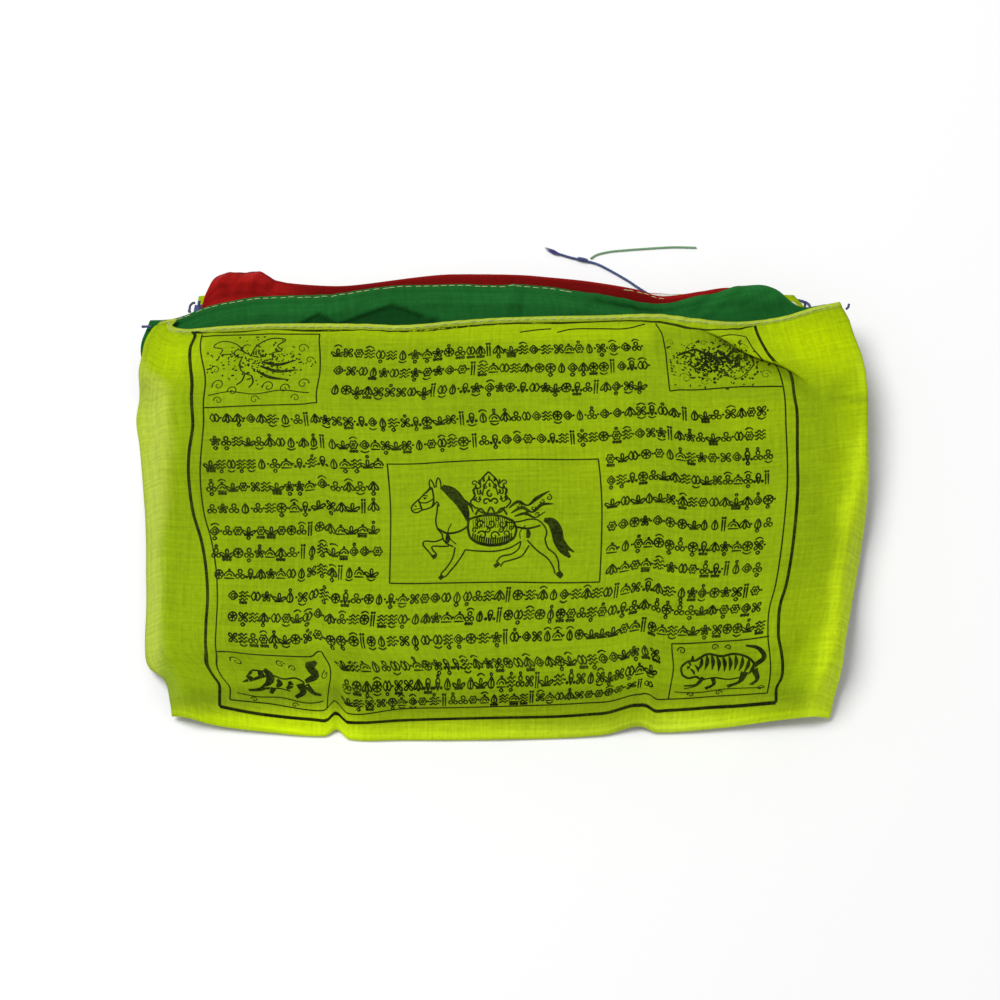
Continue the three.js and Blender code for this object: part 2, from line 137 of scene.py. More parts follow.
GREEN_HEADING = rows("x y", [
    (-127, 78.7), (-120, 79), (-115, 80.4), (-107, 84), (-96, 86.7), (-88, 88), (-62, 88.9),
    (-53, 90.4), (-44, 91.9), (-35, 92.8), (8, 92.7), (17, 92.3), (26, 90.7), (44, 87.5),
    (52, 85.5), (61, 85.4), (72, 88), (80, 89.2), (86, 90.9), (95, 91.9), (101, 89.2),
    (108, 83.9), (118, 85.2)])
RED_HEADING = rows("x y", [
    (-107.7, 90), (-106.6, 92.4), (-104.4, 95.8), (-100.4, 97.7), (-94, 98.5), (-88, 98.3),
    (-83, 96), (-77, 94.6), (-62, 93.4), (-53, 93.8), (-30, 97.3), (-18, 98.4), (6, 98.3),
    (19, 97.1), (33, 95.4), (49, 92.3), (57, 89.5), (63, 89.6), (73, 91.3), (83, 92.8),
    (91, 90.6), (104, 85.4)])
GREEN_LEFT = rows("y left", [
    (30, -114.5), (44, -115.5), (51, -118.5), (56, -124), (60, -128), (65, -129.6),
    (70, -129.6), (75, -128.2), (79, -126.9)])
TOP_RIDGES = rows("x1 y1 x2 y2 height half", [
    (-55, -66, -50, -12, 0.9, 6), (48, -66, 43, 4, 0.9, 6), (66, 78, 84, 66, 1.6, 5),
    (84, 66, 116, 50, 1.8, 5.5), (-97, -8, -92, -54, 0.9, 7), (100, 8, 92, -50, 1, 7),
    (-114, 60, -108, 20, 1, 6), (-70, -52, 70, -53, 0.9, 9)])
GREEN_RIDGES = rows("x1 y1 x2 y2 height half", [
    (4, 84, 7, 93, 0.9, 4.5), (70, 84, 80, 89, 1.2, 5), (86, 88, 98, 88, 2.6, 5.5),
    (-26, 86, -14, 91, 0.8, 4.5)])
RED_ROLL = rows("x1 y1 x2 y2 height half", [(-102, 94, -89, 94.5, 3.4, 5)])
LOWER_INSET = 3.0
LOWER_FRONT_ENDS = (-104.0, 104.0)


def along(table, key, place, column):
    """Value of a column at a place along the key column: a cubic through the rows, whose slope at
    each row is that of the line between its two neighbours; flat beyond the ends."""
    k = table[key]
    v = table[column]
    place = np.clip(place, k[0], k[-1])
    i = np.clip(np.searchsorted(k, place, side="right") - 1, 0, len(k) - 2)
    before = np.maximum(i - 1, 0)
    after = np.minimum(i + 2, len(k) - 1)
    step = k[i + 1] - k[i]
    u = (place - k[i]) / step
    slope_in = (v[i + 1] - v[before]) / (k[i + 1] - k[before]) * step
    slope_out = (v[after] - v[i]) / (k[after] - k[i]) * step
    return cubic(u, v[i], v[i + 1], slope_in, slope_out)


def between(ends, share):
    """The place at a share of the way from the first end to the second."""
    return ends[0] + (ends[1] - ends[0]) * share


def ridges(table, x, y):
    """Sum of soft humps: height * exp(-(distance to the segment / half)^2) for each row."""
    total = np.zeros(np.broadcast(x, y).shape)
    for x1, y1, x2, y2, height, half in each(table):
        dx, dy = x2 - x1, y2 - y1
        share = np.clip(((x - x1) * dx + (y - y1) * dy) / (dx * dx + dy * dy), 0, 1)
        total = total + height * bell(np.hypot(x - x1 - share * dx, y - y1 - share * dy), half)
    return total


def pitch(x, y):
    """Height between flags: the middle's pitch, less the side loss, plus a slow swell of sines."""
    loss = along(PITCH_LOSS, "reach", np.abs(x), "loss") * along(LOSS_SHARE, "y", y, "share")
    return along(PITCH_ALONG, "y", y, "pitch") - loss + 0.035 * np.sin(x / 29 + 0.8) * np.cos(y / 33 - 0.4)


def beyond_pile(x, y):
    """Distance outside the outline of the pile under the top flag, zero inside it."""
    left = along(PILE_OUTLINE, "y", y, "left") - x
    right = x - along(PILE_OUTLINE, "y", y, "right")
    return np.hypot(np.maximum(0, np.maximum(left, right)), np.maximum(0, PILE_FRONT - y))


def top_underside(x, y):
    """Nine pitches and the soft ridges, times the share of height kept beyond the pile."""
    kept = along(FALL, "beyond", beyond_pile(x, y), "kept")
    return (9 * pitch(x, np.maximum(y, PILE_FRONT - 2)) + ridges(TOP_RIDGES, x, y)) * kept


def top_plan(across, up):
    """Plan point of the top flag: up between front and heading edges, across between its side edges."""
    front = along(TOP_FRONT, "x", between(TOP_FRONT_ENDS, across), "y")
    back = along(TOP_HEADING, "x", between(TOP_HEADING_ENDS, across), "y")
    y = front + (back - front) * up
    left = along(TOP_SIDES, "y", y, "left")
    right = along(TOP_SIDES, "y", y, "right")
    return left + (right - left) * across, y


def arc_table():
    """Shares of the way from front edge to heading, and the lengths of cloth up to them, along the
    middle of the top flag."""
    up = np.linspace(0, 1, 800)
    x, y = top_plan(np.full_like(up, 0.5), up)
    z = top_underside(x, y)
    run = running(np.sqrt(np.diff(x)**2 + np.diff(y)**2 + np.diff(z)**2))
    return up, run / run[-1] * TOP_CLOTH_LENGTH


# Sharp creases: a line of plan points, its height (below zero for a trough) and half width
TOP_CREASES = rows("x1 y1 x2 y2 height half", [
    (-55.8, -78, -54.6, -66, -1.1, 1.5), (-54.6, -66, -53.5, -58, -0.6, 1.6),
    (-52.6, -78, -51.5, -64, 0.7, 1.8), (47.6, -78, 47, -66, -1.1, 1.5), (47, -66, 46, -58, -0.6, 1.6),
    (50.8, -78, 49.8, -65, 0.7, 1.8), (-97, -48, -84, -59, 0.7, 2.6), (-108, -50, -99, -62, -0.6, 3),
    (104, -46, 95, -61, -0.6, 3.2), (-118, 30, -111, 10, -0.5, 4), (119, 20, 112, -8, -0.5, 4.5),
    (-40, -66, -25, -69, 0.4, 2.6), (10, -67, 30, -68.5, 0.4, 2.6), (70, -66, 84, -65, 0.4, 2.4),
    (-78, -67.5, -66, -69, 0.4, 2.2), (100, 30, 106, -6, 0.4, 4), (-121, 55, -113, 48, 0.6, 4),
    (16, 74, 22, 66, 0.35, 3), (-84, 73, -80, 66, 0.35, 3), (-30, 73, -33, 64, 0.3, 3),
    (60, 74, 50, 66, 0.35, 3)])
# The overlapping pleat at the right: points of its edge with the cloth that it takes up there
PLEAT = rows("x y taken", [
    (66, 74.4, 0), (72, 72.2, 1.2), (78, 68.6, 3.4), (84, 64, 4.8), (91, 60.7, 4.8),
    (97, 58.5, 4.4), (102, 56.2, 3), (108, 52.3, 1), (114, 48.4, 0)])
PLEAT_TURN = 0.85
PLEAT_RISE = 1.7
PLEAT_FULL = 3.4
TOP_LOWEST, LOWER_LOWEST = 0.24, 0.3
STITCH_GROOVE = 0.34


def pleated(x, y, heading):
    """Plan point and height of the overlapping pleat: across its line the cloth is drawn together
    by a tanh step steeper than the cloth is long, so that it passes under itself and back, while
    the height climbs by the same step and then falls slowly on the upper right side."""
    line = along(PLEAT, "x", x, "y")
    slope = along(PLEAT, "x", x + 0.5, "y") - along(PLEAT, "x", x - 0.5, "y")
    size = np.sqrt(1 + slope**2)
    across = (y - line) / size
    taken = along(PLEAT, "x", x, "taken") * np.clip((heading - y) / 6, 0, 1)
    step = np.tanh(across / PLEAT_TURN)
    flap = -0.3 * bell(np.maximum(across, 0), 7.0)
    under = 0.7 * bell(np.maximum(-across, 0), 22.0)
    moved = taken * np.where(across > 0, flap * step, -under * step)
    share = np.clip(taken / PLEAT_FULL, 0, 1)
    rise = PLEAT_RISE * share * (1 + step) / 2 * bell(np.maximum(across, 0), 9.0)
    return x - moved * slope / size, y + moved / size, rise


def hem_relief(from_edge, s, deep, tall, seed):
    """Relief of a run-stitched hem: a rounded band, a groove at the stitches and puckers that fade
    into the cloth, their spacing slowly changing along the hem."""
    band = tall * np.sin(np.pi * np.clip(0.15 + 0.85 * from_edge / deep, 0, 1)) * (from_edge < deep)
    groove = -STITCH_GROOVE * bell(from_edge - deep, 0.55)
    phase = s / 0.92 + 1.7 * np.sin(s / 9.1 + seed) + 1.1 * np.sin(s / 23.0 + 2 * seed)
    size = 0.55 + 0.45 * np.sin(s / 17.0 + 3 * seed)
    pucker = 0.22 * size * np.sin(phase) * bell(from_edge - deep - 0.4, 3.4)
    inner = 0.12 * size * np.sin(phase * 0.9 + 1) * bell(from_edge - deep * 0.4, 1.6)
    return band + groove + pucker + inner


def soft_wrinkles(s, t, seed, tall):
    """Low crossing waves with warped phases, so that no two wrinkles look alike."""
    warp = 2.2 * np.sin(s / 31 + seed) + 1.6 * np.sin(t / 23 - seed)
    a = np.sin(s / 11.5 + t / 19 + warp)
    b = np.sin(s / 7.1 - t / 13 + 1.4 * warp + seed)
    c = np.sin(t / 8.3 + s / 27 - warp)
    return tall * (0.5 * a + 0.28 * b + 0.3 * c)


UP_TABLE, CLOTH_TABLE = arc_table()


def top_cloth(s, t):
    """Middle of the top flag's cloth at s across from its left edge and t up from its front edge:
    the solid's fall to the table with the fine creases, pleat, hem and wrinkles added."""
    x, y = top_plan(s / CLOTH_WIDTH, np.interp(t, CLOTH_TABLE, UP_TABLE))
    heading = along(TOP_HEADING, "x", x, "y")
    x, y, pleat = pleated(x, y, heading)
    beyond = beyond_pile(x, y)
    kept = along(FALL, "beyond", beyond, "kept")
    free = np.clip(beyond / 10, 0, 1)
    base = top_underside(x, y) * (1 - 0.5 * np.clip((beyond - 9) / 6, 0, 1))
    from_edge = TOP_CLOTH_LENGTH - t
    edge = np.minimum(s, CLOTH_WIDTH - s)
    ripple = 0.45 * bell(edge, 7.0) * np.sin(t / 4.3 + 1.6 * np.sin(t / 11.0))
    front_wave = 0.30 * bell(t, 5.0) * np.sin(s / 5.1 + 1.9 * np.sin(s / 17.0))
    fine = (ridges(TOP_CREASES, x, y) + hem_relief(from_edge, s, TOP_HEM, 0.45, 0.7)
            + soft_wrinkles(s, t, 0.9, 0.26) + ripple * (0.35 + free) + front_wave)
    rest = 0.55 - 0.15 * free
    z = base + rest + pleat + fine * (0.35 + 0.65 * kept)
    return stacked(x, y, np.maximum(z, TOP_LOWEST))


# Painted light and painted shade: broad patches of brighter colour where the cloth lies open to the light,
# and of darker colour where it lies in a hollow: middle, half widths and strength of each soft patch
LIT_PATCHES = rows("x y wide deep strength", [
    (112, 68, 26, 15, 1), (128, 15, 9, 60, 0.7), (122, -50, 16, 22, 0.8), (60, -73, 60, 7, 0.9),
    (-40, -74, 70, 5, 0.7), (20, 72, 60, 5, 0.55), (-60, 74, 50, 4, 0.35), (85, 40, 22, 12, 0.3),
    (-118, 64, 13, 13, 0.75)])
SHADED_PATCHES = rows("x y wide deep strength", [
    (-100, 12, 17, 20, 0.2), (-84, -8, 16, 14, 0.13), (-78, -53, 30, 5, 0.14), (-35, -58, 16, 4, 0.1),
    (74, -52, 16, 6, 0.16), (-30, 66, 60, 5, 0.07), (-55, 52, 40, 10, 0.05), (10, -60, 40, 3, 0.05)])


def patches(table, x, y):
    """Soft patches: the strength of each, times a bell of its two half widths, the largest kept."""
    total = np.zeros(np.broadcast(x, y).shape)
    for cx, cy, wide, deep, strength in each(table):
        total = np.maximum(total, strength * np.exp(-((x - cx) / wide)**2 - ((y - cy) / deep)**2))
    return total


def top_tones(s, t):
    """Masks of the top cloth: pale where only the white table lies under it, as painted light showing
    through the thin cloth, with a soft bound, and pale at the doubled hem; bright as painted light in the
    open places; painted shade in the hollows and under the pleat's edge, and less than no shade, as painted
    light, at the open front corners."""
    flat_x, flat_y = top_plan(s / CLOTH_WIDTH, np.interp(t, CLOTH_TABLE, UP_TABLE))
    x, y, _ = pleated(flat_x, flat_y, along(TOP_HEADING, "x", flat_x, "y"))
    # left, right and front: where the cloth hangs past the pile over the table; pale there is painted light
    # showing through the thin cloth
    wavy = 1.2 * np.sin(y / 9.0) + 0.8 * np.sin(y / 4.1 + 1)
    bound = np.minimum(along(PILE_OUTLINE, "y", y, "left") + 1.5, -116.5)
    left = past(bound - x + 0.6 * wavy, 0.7) * past(y + 61, 1.5)
    right = past(x + 2.5 - along(PILE_OUTLINE, "y", y, "right") + wavy, 1.1)
    front = past(-(y + 70.5 + 0.5 * np.sin(x / 13)), 0.9)
    hem = 0.75 * (TOP_CLOTH_LENGTH - t < TOP_HEM - 0.2)
    open_front = np.interp(x, [-100, 0, 60, 120], [0.0, 0.2, 0.45, 0.1])
    sides = np.maximum(0.85 * left, 0.15 * right)
    pale = np.clip(np.maximum(sides, np.maximum(open_front * front, hem)), 0, 1)
    line = along(PLEAT, "x", flat_x, "y")
    size = np.clip(along(PLEAT, "x", flat_x, "taken") / PLEAT_FULL, 0, 1)
    under = flat_y - line
    # Painted shadow under the pleat's overhanging edge
    pleat_shadow = 0.42 * size * bell(under + 4.2, 2.4) + 0.5 * size * bell(under + 1.0, 1.5)
    # Painted light in the open places, taken away below the pleat's edge
    bright = np.maximum(patches(LIT_PATCHES, x, y), np.maximum(front, right))
    bright = bright * (1 - 0.8 * np.clip(-(under - 1) / 3, 0, 1) * (x > 55) * (y > 45))
    # Painted light at the open front corners and the low right side, given as less than no shade; painted
    # shade from the shaded patches
    corner = past(-(y + 68), 1.2) * past(np.abs(x) - 48, 4)
    low_side = past(-(y + 52), 2) * past(x - 99, 1.5)
    painted_light = np.maximum(np.maximum(0.22 * front, 0.68 * corner), 0.24 * low_side) + 0.20 * right
    shade = patches(SHADED_PATCHES, x, y) + pleat_shadow - painted_light + 0.05 * left
    bright = np.maximum(bright, corner)
    return pale, np.clip(bright, 0, 1), np.clip(shade, -0.8, 0.8)


def lower_flag(name, level, ends, front, seed, shape, left, right, mesh=(96, 50, 5.0)):
    """Row of a flag under the top one, with level flags below it: ends of its heading, place of its
    front, seed of its wrinkles, its heading as a table or as place, wave and phase of a slow curve,
    shifts of its side edges, and the columns, rows and hem depth of its mesh."""
    colour = name.split("_")[0]
    heading = shape if isinstance(shape, dict) else None
    back, wave, phase = (0, 0, 0) if heading else shape
    columns, rows_up, hem = mesh
    return {"node": "flag_" + name, "slot": "cloth_" + colour, "level": level, "ends": ends, "front": front,
            "seed": seed, "heading": heading, "back": back, "wave": wave, "phase": phase, "left": left,
            "right": right, "columns": columns, "rows": rows_up, "hem": hem}


LOWER = [
    lower_flag("green_upper", 8, (-127.0, 118.0), -59.4, 1.3, GREEN_HEADING, 0, 0, (216, 96, 3.4)),
    lower_flag("red_upper", 7, (-107.7, 104.0), -60.4, 2.4, RED_HEADING, 1.0, -1.5, (216, 96, 6.0)),
    lower_flag("white_upper", 6, (-104.0, 107.0), -61.4, 0.2, (91.4, 0.9, 0.4), 1.6, -0.6),
    lower_flag("blue_upper", 5, (-112.0, 106.0), -62.6, 3.1, (91.9, 0.8, 2.1), 0.6, -2.0),
    lower_flag("yellow_lower", 4, (-111.0, 107.5), -63.6, 4.4, (95.4, 1.4, 3.6), 1.8, -1.0),
    lower_flag("green_lower", 3, (-104.0, 108.0), -64.8, 5.2, (93.2, 1.1, 5.0), 0.2, -2.6),
    lower_flag("red_lower", 2, (-106.0, 106.5), -65.8, 6.6, (96.0, 1.3, 0.9), 2.2, -0.4),
    lower_flag("white_lower", 1, (-103.5, 107.0), -66.8, 7.5, (93.8, 0.9, 2.8), 1.0, -1.8),
    lower_flag("blue_lower", 0, (-105.0, 108.0), -67.8, 8.1, (95.0, 1.2, 4.3), 1.4, -1.2),
]


def lower_plan(flag, across, up):
    """Plan point of a lower flag: between its side edges, which follow the pile's outline and draw
    in to its heading ends; the green flag's left edge has its own line where its corner juts out."""
    front_x = between(LOWER_FRONT_ENDS, across)
    back_x = between(flag["ends"], across)
    front = flag["front"] + 3.0 * np.abs(front_x / 108)**4
    if flag["heading"] is None:
        curve = flag["wave"] * np.sin(back_x / 34 + flag["phase"])
        back = flag["back"] + curve - (back_x / 108)**2 * 3.0
    else:
        back = along(flag["heading"], "x", back_x, "y")
    y = front + (back - front) * up
    draw = np.maximum(0, (up - 0.74) / 0.26)**1.6
    left = along(PILE_OUTLINE, "y", np.minimum(y, 42), "left") + LOWER_INSET + flag["left"]
    left = left + (flag["ends"][0] - left) * draw
    if flag["heading"] is GREEN_HEADING:
        left = np.where(y > GREEN_LEFT["y"][0], along(GREEN_LEFT, "y", y, "left"), left)
    right = along(PILE_OUTLINE, "y", y, "right") - LOWER_INSET + flag["right"]
    right = right + (flag["ends"][1] - right) * draw
    return left + (right - left) * across, y


def lower_underside(flag, x, y):
    """A lower flag's level times the pitch, with the green flag's folds and the red flag's roll."""
    z = flag["level"] * pitch(x, y)
    if flag["node"] == "flag_green_upper":
        z = z + ridges(GREEN_RIDGES, x, y) * np.clip((y - 81) / 4, 0, 1)
    if flag["node"] == "flag_red_upper":
        z = z + 0.45 * ridges(RED_ROLL, x, y) * np.clip((y - 88) / 5, 0, 1)
    return z


# Creases in the green strip that shows, and the hollows that the top hem leaves at its left
GREEN_CREASES = rows("x1 y1 x2 y2 height half", [
    (2, 79, 4.5, 92, 0.55, 1.3), (6.5, 79, 8.5, 91, -0.4, 1.2), (70, 82, 79, 91, -0.5, 1.6),
    (74, 80, 86, 90, 0.6, 1.6), (-60, 80, -48, 88, 0.5, 2), (-88, 79, -76, 86, 0.4, 1.8),
    (24, 80, 36, 89, 0.45, 2), (-14, 84, -2, 86, 0.35, 1.6), (100, 86, 108, 84, 0.5, 1.8),
    (88, 84, 98, 89, -0.4, 1.5)])
HOLLOWS = rows("x y half_wide deep", [(-39.5, 84.9, 13.5, 5.6), (-66, 81.4, 4.6, 3)])
RED_CREASES = rows("x1 y1 x2 y2 height half", [
    (-103, 93, -99, 98, 0.8, 1.2), (-97, 94, -93, 99, -0.6, 1.1), (-91, 93, -87, 99, 0.7, 1.2),
    (-84, 92, -82, 97, -0.5, 1.2), (-60, 88, -40, 90, 0.3, 1.4), (10, 92, 40, 90, 0.3, 1.4)])


def hollow(x, y):
    """Tent-shaped hollows behind the top hem: 1 inside each triangle, 0 outside, with a soft bound."""
    total = np.zeros(np.broadcast(x, y).shape)
    for cx, cy, half, deep in each(HOLLOWS):
        below = (cy - y) / deep
        inside = below - np.abs(x - cx) / half
        total = np.maximum(total, past(inside, 0.06) * (below > -0.2))
    return total


def lower_cloth(flag, across, up):
    """Middle of a lower flag's cloth: half the solid's thickness over its underside, with its hem relief,
    wrinkles and the listed creases."""
    x, y = lower_plan(flag, across, up)
    from_edge = (1 - up) * LOWER_CLOTH_LENGTH
    s = across * CLOTH_WIDTH
    hem_tall, wrinkle_tall = (0.22, 0.11) if flag["level"] else (0.1, 0.04)
    relief = 1.0 if flag["level"] > 6 else 0.5
    wrinkles = soft_wrinkles(s, from_edge, flag["seed"], wrinkle_tall)
    z = lower_underside(flag, x, y) + CAD_CLOTH / 2 + wrinkles
    z = z + hem_relief(from_edge, s, flag["hem"], hem_tall, flag["seed"]) * relief
    if flag["node"] == "flag_green_upper":
        z = z + ridges(GREEN_CREASES, x, y) * np.clip((y - 79) / 2, 0, 1) - 0.9 * hollow(x, y)
    if flag["node"] == "flag_red_upper":
        lump = ridges(RED_ROLL, x, y) * np.clip((y - 88) / 5, 0, 1)
        z = z + ridges(RED_CREASES, x, y) * np.clip((y - 87) / 2, 0, 1) + 0.45 * lump
    return stacked(x, y, np.maximum(z, LOWER_LOWEST))


def heading_end(flag, side):
    """Where the string leaves a heading's end face, a little in from the heading edge."""
    up = 1 - STRING_FROM_EDGE / (TOP_CLOTH_LENGTH if flag is None else LOWER_CLOTH_LENGTH)
    across = np.array([1.0 if side > 0 else 0.0])
    if flag is None:
        x, y = top_plan(across, np.array([up]))
        z = top_underside(x, y)
    else:
        x, y = lower_plan(flag, across, np.array([up]))
        z = lower_underside(flag, x, y)
    return float(x[0]), float(y[0]), float(z[0]) + STRING_RISE


def lower_tones(flag, across, up):
    """Masks of a lower cloth: nothing pale, brighter in slow waves, painted shade in the green flag's
    hollows, at their rims, in its fold under the red one and next to the top hem, and along the red strip,
    and painted light on the green flag's crest and on the red flag's roll."""
    x, y = lower_plan(flag, across, up)
    from_edge = (1 - up) * LOWER_CLOTH_LENGTH
    bright = 0.35 + 0.2 * np.sin(x / 13 + flag["seed"]) * np.sin(from_edge / 5 + 1)
    shade = np.zeros(x.shape)
    if flag["node"] == "flag_green_upper":
        # Painted shade in the hollows, at their rims, in the fold under the red flag, in the creases and
        # next to the top hem; painted highlight on the crest at the right
        deep = hollow(x, y)
        rim = 4 * deep * (1 - deep)
        fold_shadow = bell(x - 46, 13) * bell(from_edge - 3.4, 1.3)
        crest = bell(x - 92, 14) * bell(from_edge - 2.2, 1.6)
        relief = ridges(GREEN_CREASES, x, y)
        creases = 0.35 * np.clip(-relief, 0, 1) + 0.1 * np.clip(relief, 0, 1)
        front = np.exp(-np.clip(from_edge - 9.5, -9, 0)**2 / 1.4)
        shade = 0.40 * deep + 0.30 * rim + 0.55 * fold_shadow + creases + 0.18 * front
        bright = bright + 0.5 * crest
    if flag["node"] == "flag_red_upper":
        # Painted shade along the red strip, darker in its lower part, in its folds and at its rims
        strip = past(x + 76, 3)
        start = np.interp(x, [-60, 0, 60, 80], [0.5, 0.7, 1.5, 1.2])
        low = past(from_edge - start, 0.25)
        shade = strip * (0.22 + 0.34 * low)
        folds = np.clip(-ridges(RED_CREASES, x, y), 0, 1) * (x < -78)
        rim = (x < -76) * (bell(from_edge, 1.0) + bell(from_edge - 8.5, 2.2))
        shade = shade + 0.4 * folds + 0.3 * rim
        # Painted light on the red flag's roll at the left
        bright = np.where(x < -78, 0.5, bright)
    return np.zeros(x.shape), np.clip(bright, 0, 1), np.clip(shade, 0, 0.85)


def new_object(name, points, faces, material, uv=None, values=None):
    """One mesh object from arrays in millimetres: moved so that the pile's middle is the origin and
    scaled to metres. uv is in metres of flat cloth, values is a dict of one number a point."""
    points = (np.asarray(points, dtype=float) - [CENTRE_X, CENTRE_Y, 0]) * MM
    counts = np.concatenate([np.full(len(f), f.shape[1]) for f in faces])
    corners = np.concatenate([f.ravel() for f in faces]).astype(np.int32)
    mesh = bpy.data.meshes.new(name)
    mesh.vertices.add(len(points))
    mesh.vertices.foreach_set("co", points.astype(np.float32).ravel())
    mesh.loops.add(len(corners))
    mesh.loops.foreach_set("vertex_index", corners)
    mesh.polygons.add(len(counts))
    mesh.polygons.foreach_set("loop_start", running(counts)[:-1].astype(np.int32))
    mesh.polygons.foreach_set("loop_total", counts.astype(np.int32))
    mesh.polygons.foreach_set("use_smooth", np.full(len(counts), True))
    mesh.update(calc_edges=True)
    if uv is not None:
        layer = mesh.uv_layers.new(name="cloth")
        layer.data.foreach_set("uv", (np.asarray(uv)[corners] * MM).astype(np.float32).ravel())
    for key, value in (values or {}).items():
        layer = mesh.attributes.new(key, "FLOAT", "POINT")
        layer.data.foreach_set("value", np.asarray(value, dtype=np.float32))
    mesh.materials.append(material)
    mesh.validate()
    obj = bpy.data.objects.new(name, mesh)
    bpy.context.scene.collection.objects.link(obj)
    return obj


def grid_normals(grid):
    """Unit normals of a grid of points: the cross product of its steps across and up."""
    n = np.cross(np.gradient(grid, axis=1), np.gradient(grid, axis=0))
    return n / lengths(n)


def quads(a, b, c, d):
    """Four-sided faces from arrays of their corners' numbers."""
    return stacked(a, b, c, d).reshape(-1, 4)


def closed_sheet(grid, thick):
    """Points and faces of a cloth: its two sides lie half its thickness off the grid, and a rim of
    quads closes them."""
    n = grid_normals(grid)
    high, low = grid + n * thick / 2, grid - n * thick / 2
    r, c = grid.shape[:2]
    index = np.arange(r * c).reshape(r, c)
    up = quads(index[:-1, :-1], index[:-1, 1:], index[1:, 1:], index[1:, :-1])
    loop = np.concatenate([index[0, :-1], index[:-1, -1], index[-1, :0:-1], index[:0:-1, 0]])
    after = np.roll(loop, -1)
    rim = quads(loop + r * c, after + r * c, after, loop)
    return np.concatenate([high.reshape(-1, 3), low.reshape(-1, 3)]), [up, up[:, ::-1] + r * c, rim]


def cloth_places(length, hem, rows_up):
    """Places up a flag, from its front to its heading: close together over the hem and 10 mm below
    it, evenly spaced further down."""
    close = np.arange(0, hem + 10, 0.62)
    rest = np.linspace(close[-1], length, rows_up - len(close) + 1)[1:]
    return length - np.concatenate([close, rest])[::-1]


def tube(centre, radius, sides=10, ribs=0, lay=4.0):
    """A tube along points in millimetres. radius is one number a point. Its section turns with the
    path; ribs twisted plies make the radius swell and fall around it, one turn in each lay."""
    tangent = np.gradient(centre, axis=0)
    tangent /= lengths(tangent)
    side = np.cross(tangent, UPWARD)
    side /= np.maximum(lengths(side), TINY)
    up = np.cross(side, tangent)
    run = running(lengths(np.diff(centre, axis=0)))
    angle = np.linspace(0, 2 * np.pi, sides, endpoint=False)[None, :]
    swell = 1.0
    if ribs:
        swell = 0.80 + 0.20 * np.abs(np.cos(ribs / 2 * (angle - 2 * np.pi * run[:, None] / lay)))
    r = np.asarray(radius)[:, None] * swell
    turned_side = np.cos(angle)[..., None] * side[:, None, :] + np.sin(angle)[..., None] * up[:, None, :]
    ring = centre[:, None, :] + r[..., None] * turned_side
    m = len(centre)
    index = np.arange(m * sides).reshape(m, sides)
    nxt = np.roll(index, -1, axis=1)
    sleeve = quads(index[:-1], index[1:], nxt[1:], nxt[:-1])
    points = np.concatenate([ring.reshape(-1, 3), centre[:1], centre[-1:]])
    first, last = np.full(sides, m * sides), np.full(sides, m * sides + 1)
    ends = np.concatenate([stacked(index[0], nxt[0], first), stacked(nxt[-1], index[-1], last)])
    return points, [sleeve, ends]


def smooth_path(points, step):
    """Points a step apart along a centripetal Catmull-Rom curve: a cubic between neighbours whose end
    slopes are weighted by the square roots of the distances around."""
    p = np.asarray(points, dtype=float)
    p = np.concatenate([[2 * p[0] - p[1]], p, [2 * p[-1] - p[-2]]])
    gap = np.sqrt(lengths(np.diff(p, axis=0)))
    a, b, c, d = p[:-3], p[1:-2], p[2:-1], p[3:]
    g, h, k = gap[:-2], gap[1:-1], gap[2:]
    slope_in = ((b - a) / g - (c - a) / (g + h) + (c - b) / h) * h
    slope_out = ((c - b) / h - (d - b) / (h + k) + (d - c) / k) * h
    u = np.linspace(0, 1, 24, endpoint=False)[None, :, None]
    b, c, slope_in, slope_out = (v[:, None, :] for v in (b, c, slope_in, slope_out))
    curve = np.concatenate([cubic(u, b, c, slope_in, slope_out).reshape(-1, p.shape[1]), p[-2:-1]])
    run = running(lengths(np.diff(curve, axis=0)))
    places = np.linspace(0, run[-1], max(3, int(round(run[-1] / step)) + 1))
    return stacked(*(np.interp(places, run, column) for column in curve.T))


def joined(parts):
    """Several (points, faces) made into one."""
    points, faces, start = [], {}, 0
    for p, f in parts:
        for block in f:
            faces.setdefault(block.shape[1], []).append(block + start)
        points.append(p)
        start += len(p)
    return np.concatenate(points), [np.concatenate(v) for v in faces.values()]


def surface(s, t, points, thick):
    """A cloth's grid with its unit normals and its upper side, so that print and stitches can lie
    exactly on its facets."""
    normal = grid_normals(points)
    return {"s": s, "t": t, "middle": points, "normal": normal, "upper": points + normal * thick / 2}


def on_cloth(cloth, s, t, lift):
    """Points lifted off a cloth's upper side at s and t, between the four grid points around."""
    inside = 1e-6
    s = np.clip(s, cloth["s"][0], cloth["s"][-1] - inside)
    t = np.clip(t, cloth["t"][0], cloth["t"][-1] - inside)
    i = np.searchsorted(cloth["s"], s, side="right") - 1
    j = np.searchsorted(cloth["t"], t, side="right") - 1
    a = ((s - cloth["s"][i]) / (cloth["s"][i + 1] - cloth["s"][i]))[..., None]
    b = ((t - cloth["t"][j]) / (cloth["t"][j + 1] - cloth["t"][j]))[..., None]

    def taken(grid):
        near = grid[j, i] * (1 - a) + grid[j, i + 1] * a
        far = grid[j + 1, i] * (1 - a) + grid[j + 1, i + 1] * a
        return near * (1 - b) + far * b

    return taken(cloth["upper"]) + taken(cloth["normal"]) * lift


